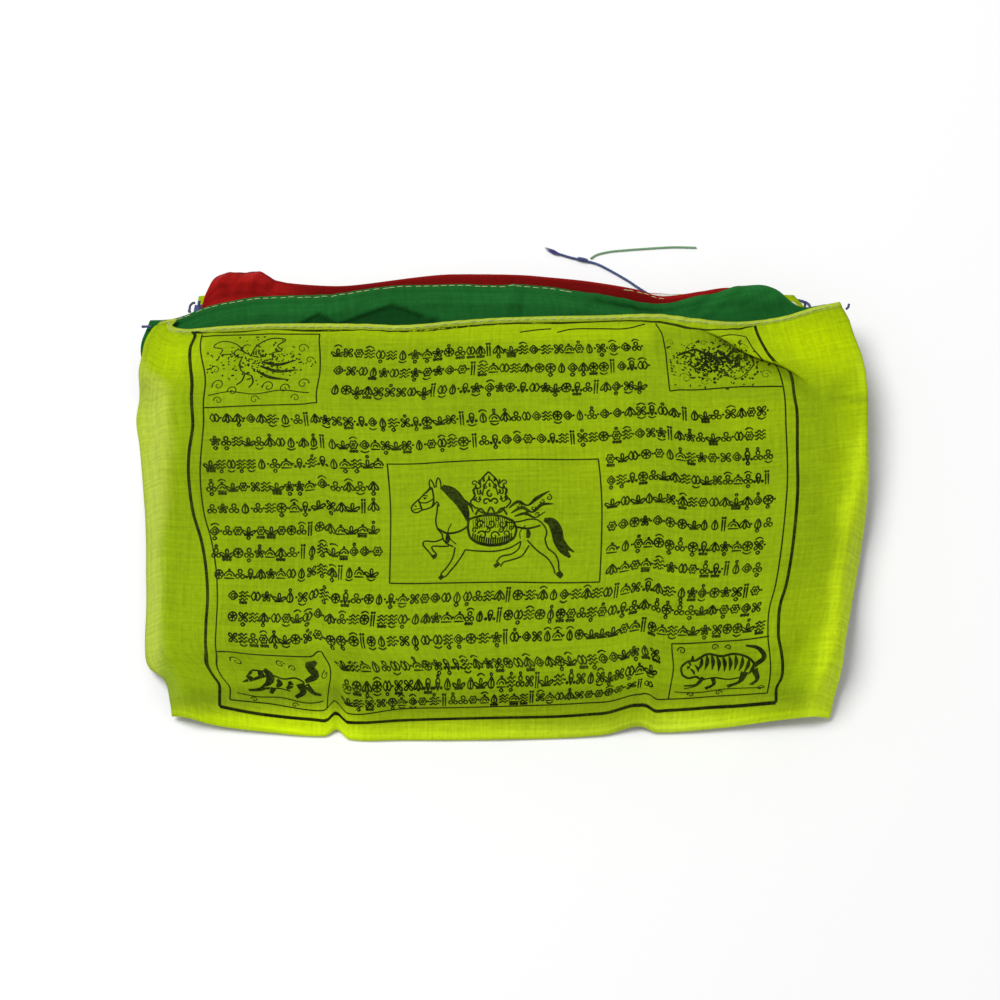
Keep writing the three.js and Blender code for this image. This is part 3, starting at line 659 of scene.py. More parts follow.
def ribbons(cloth, centre, width, lift):
    """Flat strips of ink on the cloth along many strokes at once: centre is strokes by points by 2
    in millimetres of flat cloth, width strokes by points."""
    step = np.gradient(centre, axis=1)
    step /= np.maximum(lengths(step), TINY)
    off = stacked(-step[..., 1], step[..., 0]) * width[..., None] / 2
    left, right = centre + off, centre - off
    both = np.stack([right, left], axis=2)
    points = on_cloth(cloth, both[..., 0], both[..., 1], lift)
    n, k = centre.shape[:2]
    index = np.arange(n * k * 2).reshape(n, k, 2)
    faces = quads(index[:, :-1, 0], index[:, 1:, 0], index[:, 1:, 1], index[:, :-1, 1])
    return points.reshape(-1, 3), [faces]


def long_ribbon(cloth, points, width, step=0.8):
    """One line of ink along points of flat cloth, its width a number or one for each point."""
    path = smooth_path(np.column_stack([points, np.broadcast_to(width, len(points))]), step)
    return ribbons(cloth, path[None, :, :2], path[None, :, 2], INK_LIFT)


# Ink: height of lines and of specks over the cloth, and width of the frame's two lines
INK_LIFT, SPECK_LIFT = 0.07, 0.075
THICK, THIN = 1.1, 0.5
# Lines of the print, in millimetres of flat cloth: s from the left edge, t from the front edge
FRAME_LINES = [
    (THICK, [
        (15.6, 163.6), (17.4, 161), (17, 155), (18.5, 146.5), (21.2, 136.5), (20.9, 123), (18.6, 110.5),
        (17.7, 100), (18.4, 87), (21.7, 74), (23.5, 61.5), (24.2, 46), (23.3, 32), (18.5, 24.5), (20.6, 17),
        (19.5, 6)]),
    (THIN, [
        (19.8, 161.5), (21, 153.5), (25.4, 138), (25.4, 130), (21.8, 101), (22.3, 86.5), (25.3, 74),
        (27.3, 59), (26.9, 32), (21.6, 24.2), (24.5, 16), (23.8, 9.3)]),
    (THICK, [
        (19.5, 6), (37.8, 5.4), (55, 5.6), (63.3, 4.8), (71.3, 6.4), (88.8, 7.4), (114.5, 8), (151, 7.6),
        (168, 7.2), (183.4, 6), (193.6, 7), (233.6, 4.9)]),
    (THIN, [
        (23.8, 9.3), (38.2, 9.8), (60, 9), (66, 9.2), (89, 12.5), (114.5, 13), (150.6, 12.7), (166, 12),
        (181, 10), (193, 11.4), (229.7, 9)]),
    (THICK, [
        (220.4, 162.6), (220.8, 156.5), (222, 150), (224.2, 145.5), (226.6, 141.4), (228.4, 137),
        (229.5, 130), (230.6, 123), (230.3, 103), (230.5, 83), (230.5, 55), (229.6, 47), (230.6, 37),
        (233.5, 20), (232.6, 10.5), (233.6, 4.9)]),
    (THIN, [
        (215.8, 156.7), (217.1, 152), (219.1, 148.6), (221.6, 144), (223.8, 139.2), (225.3, 134.5),
        (226.3, 128), (226.8, 112), (226.6, 83.5), (226.7, 55), (226, 46), (227.3, 34), (229.1, 19),
        (229.5, 9)]),
    (THIN, [(206, 156.4), (210.5, 157), (215.7, 156.7)]),
    (THIN, [(134.8, 157.8), (140.2, 158.5), (146, 158.7)]),
    (THIN, [(148.2, 157.2), (153.2, 158.5), (164, 158.5), (173.2, 158.2), (180, 159.9)]),
]
# The dark line next to the hem is partly print and partly painted shadow of the hem's puckers, so it swells
# and thins with them: s, t and width
HEM_LINE = rows("s t wide", [
    (16, 163.2, 0.8), (22, 162.2, 0.5), (32, 161.4, 0.6), (45, 161.9, 0.5), (57, 161.2, 0.9),
    (66, 161.3, 1), (78, 161.9, 0.7), (91, 161.8, 1), (105, 161.3, 1.1), (119, 161.4, 0.8),
    (133, 161.9, 1.1), (147, 161.3, 1), (158, 161.6, 0.8), (167, 161.9, 1), (177, 161.4, 0.6),
    (186, 160.8, 0.9), (193, 160.6, 1), (200, 159.6, 0.8), (207, 159.7, 0.6), (213, 160.4, 0.9),
    (219.6, 162.2, 0.7)])

# Marks: their size, the gap between them and the beads there, then the share of each extra
MARK_SIZE, MARK_GAP, BEAD_STEP, BEAD_LINE = 3.9, 0.3, 0.7, 0.46
BARS_SHARE, PENDANT_SHARE, CREST_SHARE, BEAD_SHARE = 0.14, 0.36, 0.2, 0.25
MARK_SEED = 11
# Rows of marks: s where the row starts and ends, t of its middle at the start, half way and end
MARK_ROWS = rows("s1 s2 t1 t2 t3", [
    (68.2, 181, 151.8, 150.3, 150.2), (68.9, 180.8, 144.3, 142.7, 142.2),
    (69.2, 179.4, 136.4, 134.7, 133.8), (27, 222, 125, 122.8, 124.8), (26.2, 221.9, 115.3, 113.7, 115.7),
    (24, 85.6, 105.7, 105.9, 106.8), (163.6, 221.6, 105.1, 106.6, 107.5),
    (23.6, 85.1, 96.5, 96.8, 97.8), (163.6, 221.4, 96.6, 97.7, 98.3),
    (23.6, 85, 87.5, 88.6, 89.9), (163.9, 221.7, 87.7, 88.9, 89.4),
    (24.4, 85.2, 78.4, 79.7, 80.9), (164.4, 222.4, 78.8, 80, 80.1),
    (25.2, 85.5, 69.7, 71, 72.4), (165, 222.6, 70.4, 71.4, 71.3),
    (26.4, 86, 61.4, 62.9, 64.3), (165.8, 223, 62.5, 63, 62.4),
    (31.4, 223.7, 53.3, 54.2, 53.5), (32, 225, 45.1, 46.8, 47), (32.3, 226, 37.1, 38.6, 39.6),
    (67.5, 187.5, 28.4, 29.3, 29.4), (67.5, 187.2, 21.4, 22.8, 22.9), (67.5, 186.9, 14.8, 16.4, 15.5)])


def even_strokes(corners, samples=12):
    """One stroke through corners as points at even distances along it."""
    corners = np.asarray(corners, dtype=float)
    run = running(np.hypot(*np.diff(corners, axis=0).T))
    places = np.linspace(0, run[-1], samples)
    return stacked(np.interp(places, run, corners[:, 0]), np.interp(places, run, corners[:, 1]))


def turned(radius, angle, cx=0.5, cy=-0.5):
    """Points at a radius and an angle around a middle."""
    return stacked(cx + radius * np.cos(angle), cy + radius * np.sin(angle))


def diamond(y, wide, high):
    """A lozenge around the middle of a cell, as one stroke from its top and back."""
    top, bottom = (0.5, y + high), (0.5, y - high)
    return even_strokes([top, (0.5 + wide, y), bottom, (0.5 - wide, y), top])


def ornaments():
    """The ornament marks of the rows, each a list of strokes in a cell one unit wide that hangs from
    zero: petals as rose curves, nested and crossing lozenges, wheels, rosettes whose radius swings
    with the angle, leaves, flames, waves, fans of nested arcs and beads."""
    u = np.linspace(0, 1, 12)
    full = 2 * np.pi * u

    def petal(angle, reach=0.48, spread=0.42):
        return turned(reach * np.sin(np.pi * u), angle + spread * np.cos(np.pi * u))

    def bead(x, y, size=0.05):
        return turned(size, full, x, y)

    def arch(reach, y):
        return turned(reach, np.pi * u, 0.5, y)

    def level(y):
        return stacked(u, y + 0 * u)

    lozenge = diamond(-0.5, 0.48, 0.48)
    inner = diamond(-0.5, 0.22, 0.22)
    narrow = lozenge * [0.62, 1.0]
    half_wave = [turned(0.40 + 0.09 * np.cos(6 * (np.pi * u + a)), np.pi * u + a) for a in (0.0, np.pi)]
    return {
        "flower": [petal(np.pi / 2 + k * np.pi / 2.5, 0.5, 0.46) for k in range(5)],
        "lotus": [petal(np.pi / 2 + k, 0.78, 0.34) - [0, 0.40] for k in (-1.05, 0.0, 1.05)]
                 + [level(-0.94)],
        "lozenge": [lozenge, inner],
        "crossed lozenges": [narrow, narrow + [0.38, 0.0]],
        "rosette": half_wave + [bead(0.5, -0.5, 0.13)],
        "wheel": [turned(0.46, full), bead(0.5, -0.5, 0.07)] + [
            even_strokes([turned(0.46, a), turned(0.46, a + np.pi)]) for a in (0.5, 1.55, 2.6)],
        "leaf": [petal(-np.pi / 2, 1.0, 0.62) + [0, 0.5], even_strokes([(0.5, -0.2), (0.5, -0.98)])],
        "leaves": [petal(-np.pi / 2 + k, 0.98, 0.28) + [0, 0.5] for k in (-0.5, 0.0, 0.5)],
        "beads": [bead(x, y, 0.2) for x, y in ((0.5, -0.22), (0.24, -0.72), (0.76, -0.72))],
        "waves": [stacked(u, y - 0.12 * np.sin(4 * np.pi * u)) for y in (-0.16, -0.5, -0.84)],
        "fan": [arch(0.50, -0.72), arch(0.24, -0.72), bead(0.5, -0.08, 0.08), level(-0.92)],
        "quatrefoil": [petal(np.pi / 4 + k * np.pi / 2, 0.56, 0.50) for k in range(4)],
        "flame": [petal(np.pi / 2, 1.05, 0.44) - [0, 0.52], petal(np.pi / 2, 0.6, 0.40) - [0, 0.46],
                  bead(0.1, -0.8, 0.09), bead(0.9, -0.8, 0.09)],
    }


def mark_strokes(rng):
    """Points and widths of every mark: cells follow one another along each row with small gaps, some
    with a pendant below or a crest above, some with a bead after them, and now and then a pair of
    bars between them, picked by a fixed sequence of chances."""
    shapes = list(ornaments().values())
    u = np.linspace(0, 1, 12)
    bars = [even_strokes([(x, -0.02), (x, -1.16)]) for x in (0.22, 0.62)]
    bars += [turned(0.07, 2 * np.pi * u, x, 0.16) for x in (0.22, 0.62)]
    bead = turned(0.05, 2 * np.pi * u, 0.0, -0.5)
    pendants = [[turned(0.15, 2 * np.pi * u, 0.5, -1.22)],
                [stacked(0.1 + 0.8 * u, -1.1 - 0.18 * np.sin(np.pi * u))],
                [even_strokes([(0.5, -1.04), (0.72, -1.22), (0.5, -1.42), (0.28, -1.22), (0.5, -1.04)])],
                [turned(0.1, 2 * np.pi * u, x, -1.18) for x in (0.2, 0.5, 0.8)]]
    crests = [[stacked(0.1 + 0.8 * u, 0.1 + 0.2 * np.sin(np.pi * u))],
              [turned(0.12, 2 * np.pi * u, 0.5, 0.2)]]
    points, widths = [], []
    size, gap, hang = MARK_SIZE, MARK_GAP, 0.56 * MARK_SIZE
    for s1, s2, t1, t2, t3 in each(MARK_ROWS):
        s, since = s1, 0
        while s < s2 - 2.6:
            since += 1
            pair = since > 8 and rng.random() < BARS_SHARE
            shape = list(bars if pair else shapes[rng.integers(len(shapes))])
            wide = 0.6 if pair else 0.80 + 0.16 * rng.random()
            if not pair and rng.random() < PENDANT_SHARE:
                shape += pendants[rng.integers(len(pendants))]
            if not pair and rng.random() < CREST_SHARE:
                shape += crests[rng.integers(len(crests))]
            since = 0 if pair else since
            share = (s - s1) / (s2 - s1)
            t = (t1 * (1 - share) * (1 - 2 * share) + t2 * 4 * share * (1 - share)
                 + t3 * share * (2 * share - 1))
            for stroke in shape:
                points.append(stroke * [size * wide, size] + [s, t + hang])
                widths.append(0.48 + 0.12 * rng.random())
            s += size * wide + gap
            if rng.random() < BEAD_SHARE and not pair:
                points.append(bead * size + [s + gap / 2, t + hang])
                widths.append(BEAD_LINE)
                s += BEAD_STEP
    return np.array(points), np.array(widths)


# Figures of the print, drawn in boxes 100 wide: each line has its widths in millimetres, from its
# start to its end, and its points
HORSE_BOX = 58.0
HORSE = {
    "head": ([0.45], [
        (24.5, 47.5), (21.5, 46), (18.2, 42.8), (15, 40.2), (13.6, 38.2), (14.2, 36.2), (16.2, 35.6),
        (18.6, 36.8), (21.5, 37.4), (24, 38.4)]),
    "jaw": ([0.45], [(24, 38.4), (26.2, 40.6), (27.2, 38.2)]),
    "mouth": ([0.3], [(14.4, 36.9), (16.4, 37.6), (18, 37.6)]),
    "nostril": ([0.5, 0.3], [(15.2, 39.2), (16.3, 38.7)]),
    "eye": ([0.7, 0.5], [(19.7, 42.5), (21.1, 42.9)]),
    "brow": ([0.3], [(18.9, 43.4), (20.2, 44.1), (21.8, 43.6)]),
    "near ear": ([0.4], [(23.4, 47.2), (22.9, 49.4), (23.6, 51.8), (25, 49.4), (25.4, 47.4)]),
    "far ear": ([0.4], [(26.2, 47.6), (26.4, 50.2), (27.6, 52.4), (28.6, 49.4), (28.4, 46.8)]),
    "forelock": ([0.9, 0.3], [(23.8, 48), (22.2, 46.4), (21, 45)]),
    "noseband": ([0.5], [(17.2, 41.9), (18, 39.4), (18.8, 36.9)]),
    "cheek strap": ([0.5], [(24.2, 47), (24.6, 43.4), (24.4, 40), (23.6, 38.4)]),
    "bridle strap": ([0.4], [(17.9, 40.6), (21, 40.4), (24.4, 42)]),
    "throat": ([0.45], [(26.4, 39.4), (26, 35.4), (25.4, 31.4), (26.2, 27.6), (28.6, 24.6)]),
    "crest": ([0.4], [(28.4, 47), (32, 44), (35.6, 39.8), (38.2, 35.4), (40.2, 32.6)]),
    "mane": ([1.5, 3.1, 3, 2.2, 0.8], [(29, 47.8), (33.2, 45), (37.2, 40.2), (39.8, 35.2), (41, 30.6)]),
    "mane end": ([1.2, 0.3], [(38.8, 40.6), (42.2, 38), (43.6, 34.6)]),
    "back": ([0.45], [(60, 29.4), (66, 29.9), (71, 31), (75, 30.6), (78, 28), (79.4, 25), (78.6, 21.5)]),
    "chest": ([0.45], [(28.6, 24.6), (29.2, 22), (31, 20), (34, 18.5)]),
    "belly": ([0.45], [(40, 16.9), (46, 16.2), (55, 16), (62, 17.6), (67, 20.5)]),
    "raised foreleg": ([0.45], [
        (29.5, 22.5), (25, 21.2), (20, 21.6), (19.3, 20.2), (21.8, 17), (24.6, 14.2), (26.2, 14.8),
        (24.2, 17.2), (23.6, 18.9), (28, 18.8), (32, 18.8)]),
    "raised hoof": ([1.3, 1.1], [(24.3, 14.9), (25.4, 13.2)]),
    "far foreleg": ([0.45], [
        (35, 18.2), (34, 13.4), (31.2, 8.8), (28.4, 5.4), (30, 4.2), (33.4, 7.6), (37, 12), (40, 16.9)]),
    "far hoof": ([1.3, 1.2], [(29.4, 5.2), (27.8, 3.4)]),
    "thigh": ([0.45], [(78.6, 21.5), (80.2, 17.4), (83.8, 14.6), (85.6, 11), (86, 7.4), (88, 5.2)]),
    "shin": ([0.45], [(70, 21), (75, 16.2), (80, 12.8), (82.8, 9.2), (84.2, 5.6)]),
    "hind hoof": ([1.2, 1.3], [(85, 6), (87.6, 4)]),
    "bent leg": ([0.45], [(67, 20.5), (66, 17), (62.5, 14.5), (57.5, 13.4), (55.2, 10.8)]),
    "bent leg under": ([0.45], [(71, 18.6), (67.5, 13.6), (62, 11.6), (58.6, 10.6), (57.4, 8.6)]),
    "bent hoof": ([1.2, 1.2], [(56.8, 10.4), (54.4, 8.6)]),
    "tail": ([1.2, 2.6, 3.2, 3, 2.2, 0.8], [
        (78, 30.8), (81.8, 29.6), (84.2, 25.6), (85.4, 20.8), (87.8, 16.4), (91.2, 13.2)]),
    "tail lock": ([1, 1.4, 0.3], [(85.6, 24), (88.6, 18.6), (93, 15.6)]),
    "shoulder": ([0.3], [(33, 29.6), (31.4, 26), (32.4, 22.4), (35.6, 19.6)]),
    "flank": ([0.3], [(69, 28), (66.4, 25), (66.6, 21.6)]),
    "cloth front": ([0.7], [(41.4, 31.4), (41, 27.4), (42.4, 22.6), (45.4, 20.2)]),
    "cloth hem": ([0.9], [(45.4, 20.2), (52, 18.8), (59, 19.6), (63.8, 22.4)]),
    "cloth back": ([0.7], [(63.8, 22.4), (64.6, 26.4), (62.8, 30.4)]),
    "cloth top": ([0.7], [(41.4, 31.4), (47, 32.8), (56, 32.8), (62.8, 30.4)]),
    "breast strap": ([0.6], [(26.2, 27.4), (31, 25), (36.6, 25.6), (41.2, 28)]),
    "crupper": ([0.6], [(64, 27.4), (70, 26.6), (76.4, 28)]),
    "tassel": ([0.6, 1.4, 1], [(31, 25), (31.4, 22.4), (31, 20.4)]),
    "hip tassel": ([0.6, 1.3, 0.9], [(70, 26.6), (70.6, 24), (70.2, 22)]),
    "lotus": ([0.6], [
        (44.6, 33.4), (47, 36.4), (50, 33.8), (52.2, 37), (54.6, 33.8), (57.6, 36.4), (60, 33.2)]),
    "jewel bowl": ([0.5], [(45.4, 37), (47.4, 34.6), (52.2, 33.9), (57, 34.6), (59, 37)]),
    "flame left": ([0.5], [
        (45, 36.4), (42.4, 39.6), (44.8, 42.6), (44, 45.8), (47.6, 46.4), (47.8, 49.6), (52.2, 54)]),
    "flame right": ([0.5], [
        (52.2, 54), (56, 49.6), (57, 46.4), (60.4, 45.6), (59.6, 42.4), (62, 39.6), (59.4, 36.4)]),
    "inner flame": ([0.4], [(48.4, 42.6), (49.4, 46.4), (52.2, 50.4), (55, 46.4), (56, 42.6)]),
    "ribbon top": ([0.4, 1, 0.5, 1.1, 0.3], [(61, 36.4), (65.6, 39.4), (70, 37.6), (74.6, 41), (81, 44.6)]),
    "ribbon middle": ([0.4, 1, 0.6, 1, 0.3], [
        (62, 34), (67.4, 36.6), (72.4, 34.4), (77, 38), (82.6, 38.4)]),
    "ribbon low": ([0.4, 0.9, 0.5, 0.3], [(63.6, 32.4), (69, 33.8), (73.6, 31.8), (78.6, 34.6)]),
}
HORSE_CURLS = rows("x y size start turns width", [
    (46.8, 28.6, 2.2, 20, 1.2, 0.5), (52.2, 29, 2.4, 200, 1.2, 0.5), (57.8, 28.8, 2.2, 40, -1.2, 0.5),
    (48, 23.6, 2.3, 160, -1.2, 0.5), (54, 23.2, 2.4, 0, 1.2, 0.5), (59.6, 24.2, 2.1, 250, 1.2, 0.5),
    (50, 39.4, 2, 0, 1, 0.6), (54.4, 39.4, 2, 180, -1, 0.6), (52.2, 43.2, 1.9, 90, 1, 0.6),
    (44.8, 48.6, 1.5, 0, 1.1, 0.4), (59.6, 48.6, 1.5, 180, -1.1, 0.4), (80.6, 41.4, 1.6, 90, -1.2, 0.4),
    (46.4, 40.6, 1.5, 120, 1.1, 0.45), (58.2, 40.6, 1.5, 60, -1.1, 0.45), (47.2, 44.2, 1.4, 120, 1.1, 0.45),
    (57.4, 44.2, 1.4, 60, -1.1, 0.45), (50.2, 46.8, 1.3, 100, 1.1, 0.45), (54.4, 46.8, 1.3, 80, -1.1, 0.45),
    (44.4, 26, 1.5, 20, 1.2, 0.45), (50.8, 26.2, 1.4, 200, 1.2, 0.45), (57, 26, 1.4, 40, -1.2, 0.45),
    (62, 27.2, 1.3, 40, -1.2, 0.45), (46.2, 31, 1.2, 90, 1.2, 0.4), (55, 31.2, 1.2, 90, -1.2, 0.4),
    (66.4, 37.8, 1.4, 200, 1.1, 0.45), (72.8, 36.4, 1.3, 30, -1.1, 0.45), (77.4, 39.8, 1.3, 200, 1.1, 0.45),
    (69.4, 33.6, 1.2, 30, 1.1, 0.4), (75, 33.4, 1.1, 200, -1.1, 0.4)])

CORNER_BOX = 66.0
BIRD = {
    "head": ([0.5], [(34, 50), (29, 52), (26, 49), (28, 45.6), (33, 44.6)]),
    "beak": ([0.6, 0.3], [(26.4, 49), (22.6, 47.4), (24, 44.6)]),
    "crest": ([0.6, 0.3], [(32, 51.6), (36, 56), (41, 55.6)]),
    "breast": ([0.5], [(33, 44.6), (30.6, 38), (34, 31), (42, 27.4)]),
    "spine": ([0.5], [(34, 50), (41, 46), (48, 44)]),
    "near wing": ([0.6], [
        (40, 45), (46, 55), (58, 61), (71, 60), (64, 54), (68, 50), (59, 47.6), (60, 43), (52, 41)]),
    "far wing": ([0.5], [(36, 48), (28, 57), (15, 60), (8, 55.6), (16, 52.6), (14, 48.4), (23, 48)]),
    "tail top": ([0.8, 1.6, 0.4], [(50, 40), (64, 37), (80, 41)]),
    "tail middle": ([0.8, 1.6, 0.4], [(49, 36), (64, 31), (82, 32)]),
    "tail low": ([0.8, 1.4, 0.4], [(46, 31.6), (58, 25.6), (75, 23)]),
    "near leg": ([0.7], [(42, 27.4), (44, 21), (41, 16.6)]),
    "far leg": ([0.7], [(36, 30), (34, 23), (30, 19.6)]),
    "ground": ([0.5], [(6, 11), (24, 13.6), (46, 10.6), (70, 13.4), (94, 10)]),
}
BIRD_CURLS = rows("x y size start turns width", [
    (14, 20, 5.6, 200, -1.3, 0.5), (27, 14, 4.6, 180, -1.3, 0.5), (58, 17, 5.4, 190, -1.3, 0.5),
    (72, 15, 4.8, 0, 1.3, 0.5), (88, 19, 5.2, 0, 1.3, 0.5), (10, 34, 4.2, 180, -1.2, 0.4),
    (86, 52, 5, 0, 1.2, 0.4), (92, 41, 3.6, 10, 1.2, 0.4), (14, 6, 4, 180, -1.2, 0.4),
    (46, 5.4, 4.2, 0, 1.2, 0.4), (82, 6, 4, 180, -1.2, 0.4)])
SERPENT = {
    "body": ([1.2, 3, 3.4, 3, 3.2, 2.6, 2, 0.8], [
        (22, 48), (32, 51), (43, 44), (54, 37), (66, 42), (78, 38), (82, 27), (72, 18)]),
    "head": ([2.6, 3.2, 1.2], [(24, 49), (18, 46), (11, 42)]),
    "jaw": ([1.2, 0.5], [(18, 43), (13, 38)]),
    "horn": ([0.7, 0.3], [(22, 50), (27, 56), (34, 59)]),
    "foreleg": ([1.6, 0.8], [(38, 44), (32, 35), (25, 32)]),
    "hind leg": ([1.6, 0.8], [(70, 38), (66, 29), (58, 26)]),
    "tail": ([1.4, 0.4], [(73, 19), (63, 14), (54, 17)]),
}
SERPENT_CURLS = rows("x y size start turns width", [
    (16, 18, 6, 180, -1.3, 0.6), (34, 14, 5.2, 0, 1.3, 0.6), (48, 24, 4.4, 180, -1.2, 0.6),
    (90, 14, 5.2, 0, 1.3, 0.6), (88, 52, 5.4, 0, 1.3, 0.5), (60, 56, 5, 180, -1.3, 0.5),
    (44, 57, 3.6, 0, 1.2, 0.5), (8, 56, 3.8, 180, -1.2, 0.5)])
LION = {
    "back": ([0.6], [(30, 40), (40, 43), (52, 40), (64, 42), (73, 38)]),
    "belly": ([0.6], [(36, 24), (48, 27), (60, 25)]),
    "head": ([2.4, 3.6, 2.6], [(33, 44), (24, 42), (17, 36)]),
    "muzzle": ([1.4, 0.6], [(17, 35), (11.6, 32)]),
    "mane": ([1.8, 3.2, 2.4, 0.8], [(34, 49), (39, 41), (37, 33), (32, 28)]),
    "near foreleg": ([2.6, 1.8, 1.4], [(37, 30), (29, 22), (18, 19)]),
    "far foreleg": ([2, 1.4], [(43, 27), (41, 17)]),
    "near hind leg": ([3.4, 2.4, 1.6], [(69, 36), (73, 25), (66, 16)]),
    "far hind leg": ([2.6, 1.6], [(75, 35), (84, 24)]),
    "far paw": ([1.8, 1], [(84, 24), (92, 21)]),
    "tail": ([1.4, 2.8, 3.2, 1], [(74, 39), (84, 46), (79, 54), (88, 60)]),
    "shoulder patch": ([1.2, 2.2, 1], [(46, 39), (49, 34), (46, 29)]),
    "flank patch": ([1.2, 2.2, 1], [(58, 38), (60, 33), (56, 28)]),
    "ground": ([0.5], [(6, 12), (28, 9.6), (52, 12.6), (78, 9.6), (95, 12)]),
}
LION_CURLS = rows("x y size start turns width", [
    (12, 55, 5.4, 180, -1.3, 0.4), (52, 56, 4.4, 0, 1.3, 0.4), (62, 52, 3.6, 180, -1.2, 0.4),
    (24, 5.4, 3.8, 180, -1.2, 0.4), (66, 5, 3.8, 0, 1.2, 0.4), (94, 44, 4.4, 90, 1.2, 0.4)])
TIGER = {
    "back": ([0.9], [(24, 47), (36, 53), (50, 50), (64, 52), (78, 47), (86, 38)]),
    "belly": ([0.7], [(30, 27), (44, 29), (58, 26), (70, 28)]),
    "brow": ([0.8], [(24, 47), (15, 46), (8, 40), (10, 33)]),
    "muzzle": ([0.8], [(10, 33), (17, 29.6), (25, 31), (30, 27)]),
    "near ear": ([1.4, 0.6], [(20, 47), (21, 52)]),
    "eye": ([1.1, 0.7], [(14, 40), (17, 40.6)]),
    "near foreleg": ([1.8, 1.6, 2.2], [(32, 30), (26, 20), (14, 17)]),
    "far foreleg": ([1.6, 1.4, 1.8], [(42, 29), (44, 19), (36, 13)]),
    "near hind leg": ([3, 1.8, 2.2], [(74, 34), (70, 21), (58, 14)]),
    "far hind leg": ([2.4, 1.6, 1.8], [(84, 36), (88, 24), (82, 14)]),
    "tail": ([1.6, 1.8, 1.4, 0.8], [(85, 40), (94, 46), (88, 56), (76, 60)]),
    "ground": ([0.5], [(5, 10), (30, 7.6), (60, 10), (95, 7.6)]),
}
TIGER_CURLS = rows("x y size start turns width", [
    (10, 58, 4.6, 180, -1.3, 0.5), (44, 60, 3.8, 0, 1.3, 0.5), (58, 59, 3.4, 180, -1.2, 0.5),
    (92, 8, 3.8, 0, 1.2, 0.5), (22, 5, 3.6, 180, -1.2, 0.5), (50, 5, 3.6, 0, 1.2, 0.5)])
STRIPES = rows("x y lean length width", [
    (28, 44, -0.3, 13, 1.4), (34, 45, -0.2, 15, 1.5), (40, 45, 0, 16, 1.5), (46, 43, 0.1, 15, 1.5),
    (52, 43, 0.1, 16, 1.5), (58, 43, 0, 15, 1.5), (64, 44, -0.1, 15, 1.5), (70, 42, -0.3, 14, 1.5),
    (76, 40, -0.4, 13, 1.5), (81, 37, -0.5, 12, 1.4), (16, 44, 0.6, 5, 0.9), (20, 36, 0.9, 6, 0.9),
    (24, 39, 0.6, 7, 1)])

# Corners of each panel on the flat cloth: s and t of its top left, top right, bottom right, bottom left
PANELS = {
    "centre": [(87.4, 106.8), (161, 105.4), (163.8, 58.4), (88.9, 60.4)],
    "horse": [(85, 105.4), (156.6, 104.2), (159.4, 57.4), (86.4, 59.2)],
    "top_left": [(21.4, 160.4), (62.6, 159.6), (64.8, 130.5), (25.4, 129.6)],
    "top_right": [(186, 156.6), (215.8, 156.7), (225.3, 133.2), (187, 132.4)],
    "bottom_left": [(26.6, 31.4), (64.9, 31), (60.8, 9), (24.2, 9.3)],
    "bottom_right": [(192.4, 34.6), (227.6, 35.4), (229.6, 9.2), (192, 11.6)],
}
# Sides of the panels that the frame's thin line doesn't draw
CENTRE_SIDES = zip(PANELS["centre"], PANELS["centre"][1:] + PANELS["centre"][:1])
PANEL_LINES = [(THIN, [a, b]) for a, b in CENTRE_SIDES] + [
    (THIN, [(62.6, 159.6), (64.2, 145.0), (64.8, 130.5)]),
    (THIN, [(64.8, 130.5), (50.0, 130.2), (25.4, 129.6)]),
    (THIN, [(20.2, 160.4), (41.0, 159.8), (62.6, 159.6)]),
    (THIN, [(184.0, 160.1), (186.0, 156.0), (186.2, 149.4), (186.1, 141.0), (187.0, 132.4)]),
    (THIN, [(187.0, 132.4), (191.6, 134.0), (203.9, 134.8), (225.2, 133.3)]),
    (THIN, [(26.6, 31.4), (64.9, 31.0)]),
    (THIN, [(64.9, 31.0), (60.8, 9.0)]),
    (THIN, [(192.0, 11.6), (192.4, 34.6)]),
    (THIN, [(192.4, 34.6), (227.6, 35.4)]),
]


def spiral(x, y, size, start, turns):
    """Points of a curl: its radius falls evenly from the size to a seventh of it over the turns."""
    share = np.linspace(0, 1, 13)
    angle = math.radians(start) + 2 * np.pi * turns * share
    return turned(size * (1 - 0.86 * share), angle, x, y)


def placed(points, panel):
    """Points of a figure's box laid into a panel: straight between its four corners."""
    corners = np.array(PANELS[panel])
    box_high = HORSE_BOX if panel == "horse" else CORNER_BOX
    u = np.asarray(points)[:, :1] / 100
    v = np.asarray(points)[:, 1:] / box_high
    top = corners[0] * (1 - u) + corners[1] * u
    bottom = corners[3] * (1 - u) + corners[2] * u
    return bottom * (1 - v) + top * v


def spread(widths, count):
    """Widths at the points of a line, straight between the given ones from its start to its end."""
    return np.interp(np.linspace(0, 1, count), np.linspace(0, 1, len(widths)), widths)


def figure_lines(cloth, lines, curls, panel, bold=1.0):
    """Strips of ink for a figure's lines and curls in its panel."""
    parts = []
    for widths, points in lines.values():
        parts.append(long_ribbon(cloth, placed(points, panel), bold * spread(widths, len(points))))
    for x, y, size, start, turns, width in each(curls):
        points = spiral(x, y, size, start, turns)
        widths = bold * spread([width, width * 0.6], len(points))
        parts.append(long_ribbon(cloth, placed(points, panel), widths, step=0.5))
    return parts


